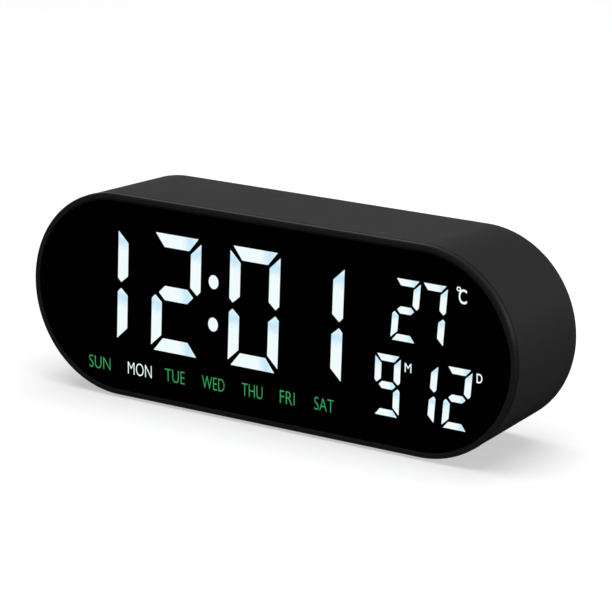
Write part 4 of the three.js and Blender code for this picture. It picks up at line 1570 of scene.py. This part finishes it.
class CLOCK_OT_stage(bpy.types.Operator):
    """Pale floor, soft light and camera"""

    bl_idname = "clock.stage"
    bl_label = "Stage"

    def execute(self, context):
        stage = context.scene.clock_stage
        context.scene.view_settings.view_transform = "Standard"

        bm = bmesh.new()
        bmesh.ops.create_grid(bm, x_segments=4, y_segments=4, size=6)
        mesh = as_mesh("floor", bm)
        mesh.materials.append(floor_finish(tint("floor"), stage.floor_glow))
        floor = linked("floor", mesh)
        floor.visible_glossy = False

        world = bpy.data.worlds.new("studio")
        context.scene.world = world
        self.light_world(world, stage)
        self.add_lamp("overhead", (0.02, 0.05, 1.5), 1.9, stage.key_power)
        self.add_lamp("side", (1.6, -0.5, 0.3), 1.0, stage.fill_power)
        self.add_camera(context, stage)
        return {"FINISHED"}

    def light_world(self, world, stage):
        """Light from the sides, less from above and none from below. The camera sees white."""
        w = Finish(world)
        way = w.node("ShaderNodeTexCoord", output="Generated")
        up = w.node("ShaderNodeSeparateXYZ", None, {0: way}, "Z")
        side, top = (stage.horizon,) * 3, (stage.sky,) * 3
        stops = [(0.0, (0.0, 0.0, 0.0)), (0.02, side), (0.3, side), (0.42, top)]
        glow = w.node("ShaderNodeValToRGB", {"stops": stops}, {"Fac": up}, "Color")
        seen = w.node("ShaderNodeLightPath", output="Is Camera Ray")
        shown = w.blend(seen, glow, (1.0, 1.0, 1.0))
        lit = w.node("ShaderNodeBackground", None, {"Color": shown, "Strength": 1.0})
        w.end(lit, "ShaderNodeOutputWorld")

    def add_lamp(self, name, place, width, power):
        """A round soft light aimed at the clock, left out of reflections."""
        lamp = bpy.data.lights.new(name, "AREA")
        lamp.shape = "DISK"
        lamp.size = width
        lamp.energy = power
        light = linked(name, lamp)
        light.location = place
        light.visible_glossy = False
        light.rotation_euler = Vector(place).to_track_quat("Z", "Y").to_euler()

    def add_camera(self, context, stage):
        """The camera that the stage's angles and lens set."""
        lens = bpy.data.cameras.new("camera")
        lens.lens = stage.lens
        lens.sensor_width = 36
        lens.clip_start = 0.01
        camera = linked("camera", lens)
        across, up = stage.azimuth, stage.elevation
        back = Vector(
            (math.sin(across) * math.cos(up), -math.cos(across) * math.cos(up), math.sin(up))
        )
        right = (-back).cross(Vector((0, 0, 1))).normalized()
        over = right.cross(-back)
        turn, lean = math.cos(stage.roll), math.sin(stage.roll)
        columns = (right * turn + over * lean, over * turn - right * lean, back)
        view = Matrix(columns).transposed().to_4x4()
        view.translation = CAMERA_PLACE
        camera.matrix_world = view
        context.scene.camera = camera


# ------------------------------------------------------------------ add-on
OPERATORS = (
    CLOCK_OT_stage,
    CLOCK_OT_front_frame,
    CLOCK_OT_window,
    CLOCK_OT_digits,
    CLOCK_OT_day_names,
    CLOCK_OT_rear_housing,
    CLOCK_OT_battery_cover,
    CLOCK_OT_keys,
    CLOCK_OT_feet,
    CLOCK_OT_case_screws,
    CLOCK_OT_cells,
    CLOCK_OT_contacts,
    CLOCK_OT_socket,
    CLOCK_OT_inner_parts,
)


class CLOCK_PT_build(bpy.types.Panel):
    """Lists the clock's sizes, colours and building steps"""

    bl_idname = "CLOCK_PT_build"
    bl_label = "Alarm Clock"
    bl_space_type = "VIEW_3D"
    bl_region_type = "UI"
    bl_category = "Alarm Clock"

    def draw(self, context):
        for group in ("clock_sizes", "clock_colours", "clock_stage"):
            settings = getattr(context.scene, group)
            box = self.layout.box()
            for name in settings.__annotations__:
                box.prop(settings, name)
        for operator in OPERATORS:
            self.layout.operator(operator.bl_idname)


GROUPS = {"clock_sizes": ClockSizes, "clock_colours": ClockColours, "clock_stage": ClockStage}
CLASSES = (*GROUPS.values(), *OPERATORS, CLOCK_PT_build)


def register():
    for added in CLASSES:
        bpy.utils.register_class(added)
    for name, group in GROUPS.items():
        setattr(bpy.types.Scene, name, bpy.props.PointerProperty(type=group))


def unregister():
    for name in GROUPS:
        delattr(bpy.types.Scene, name)
    for added in reversed(CLASSES):
        bpy.utils.unregister_class(added)


def main():
    register()
    for operator in OPERATORS:
        step = operator.bl_idname.split(".")[1]
        getattr(bpy.ops.clock, step)()


if __name__ == "__main__":
    main()
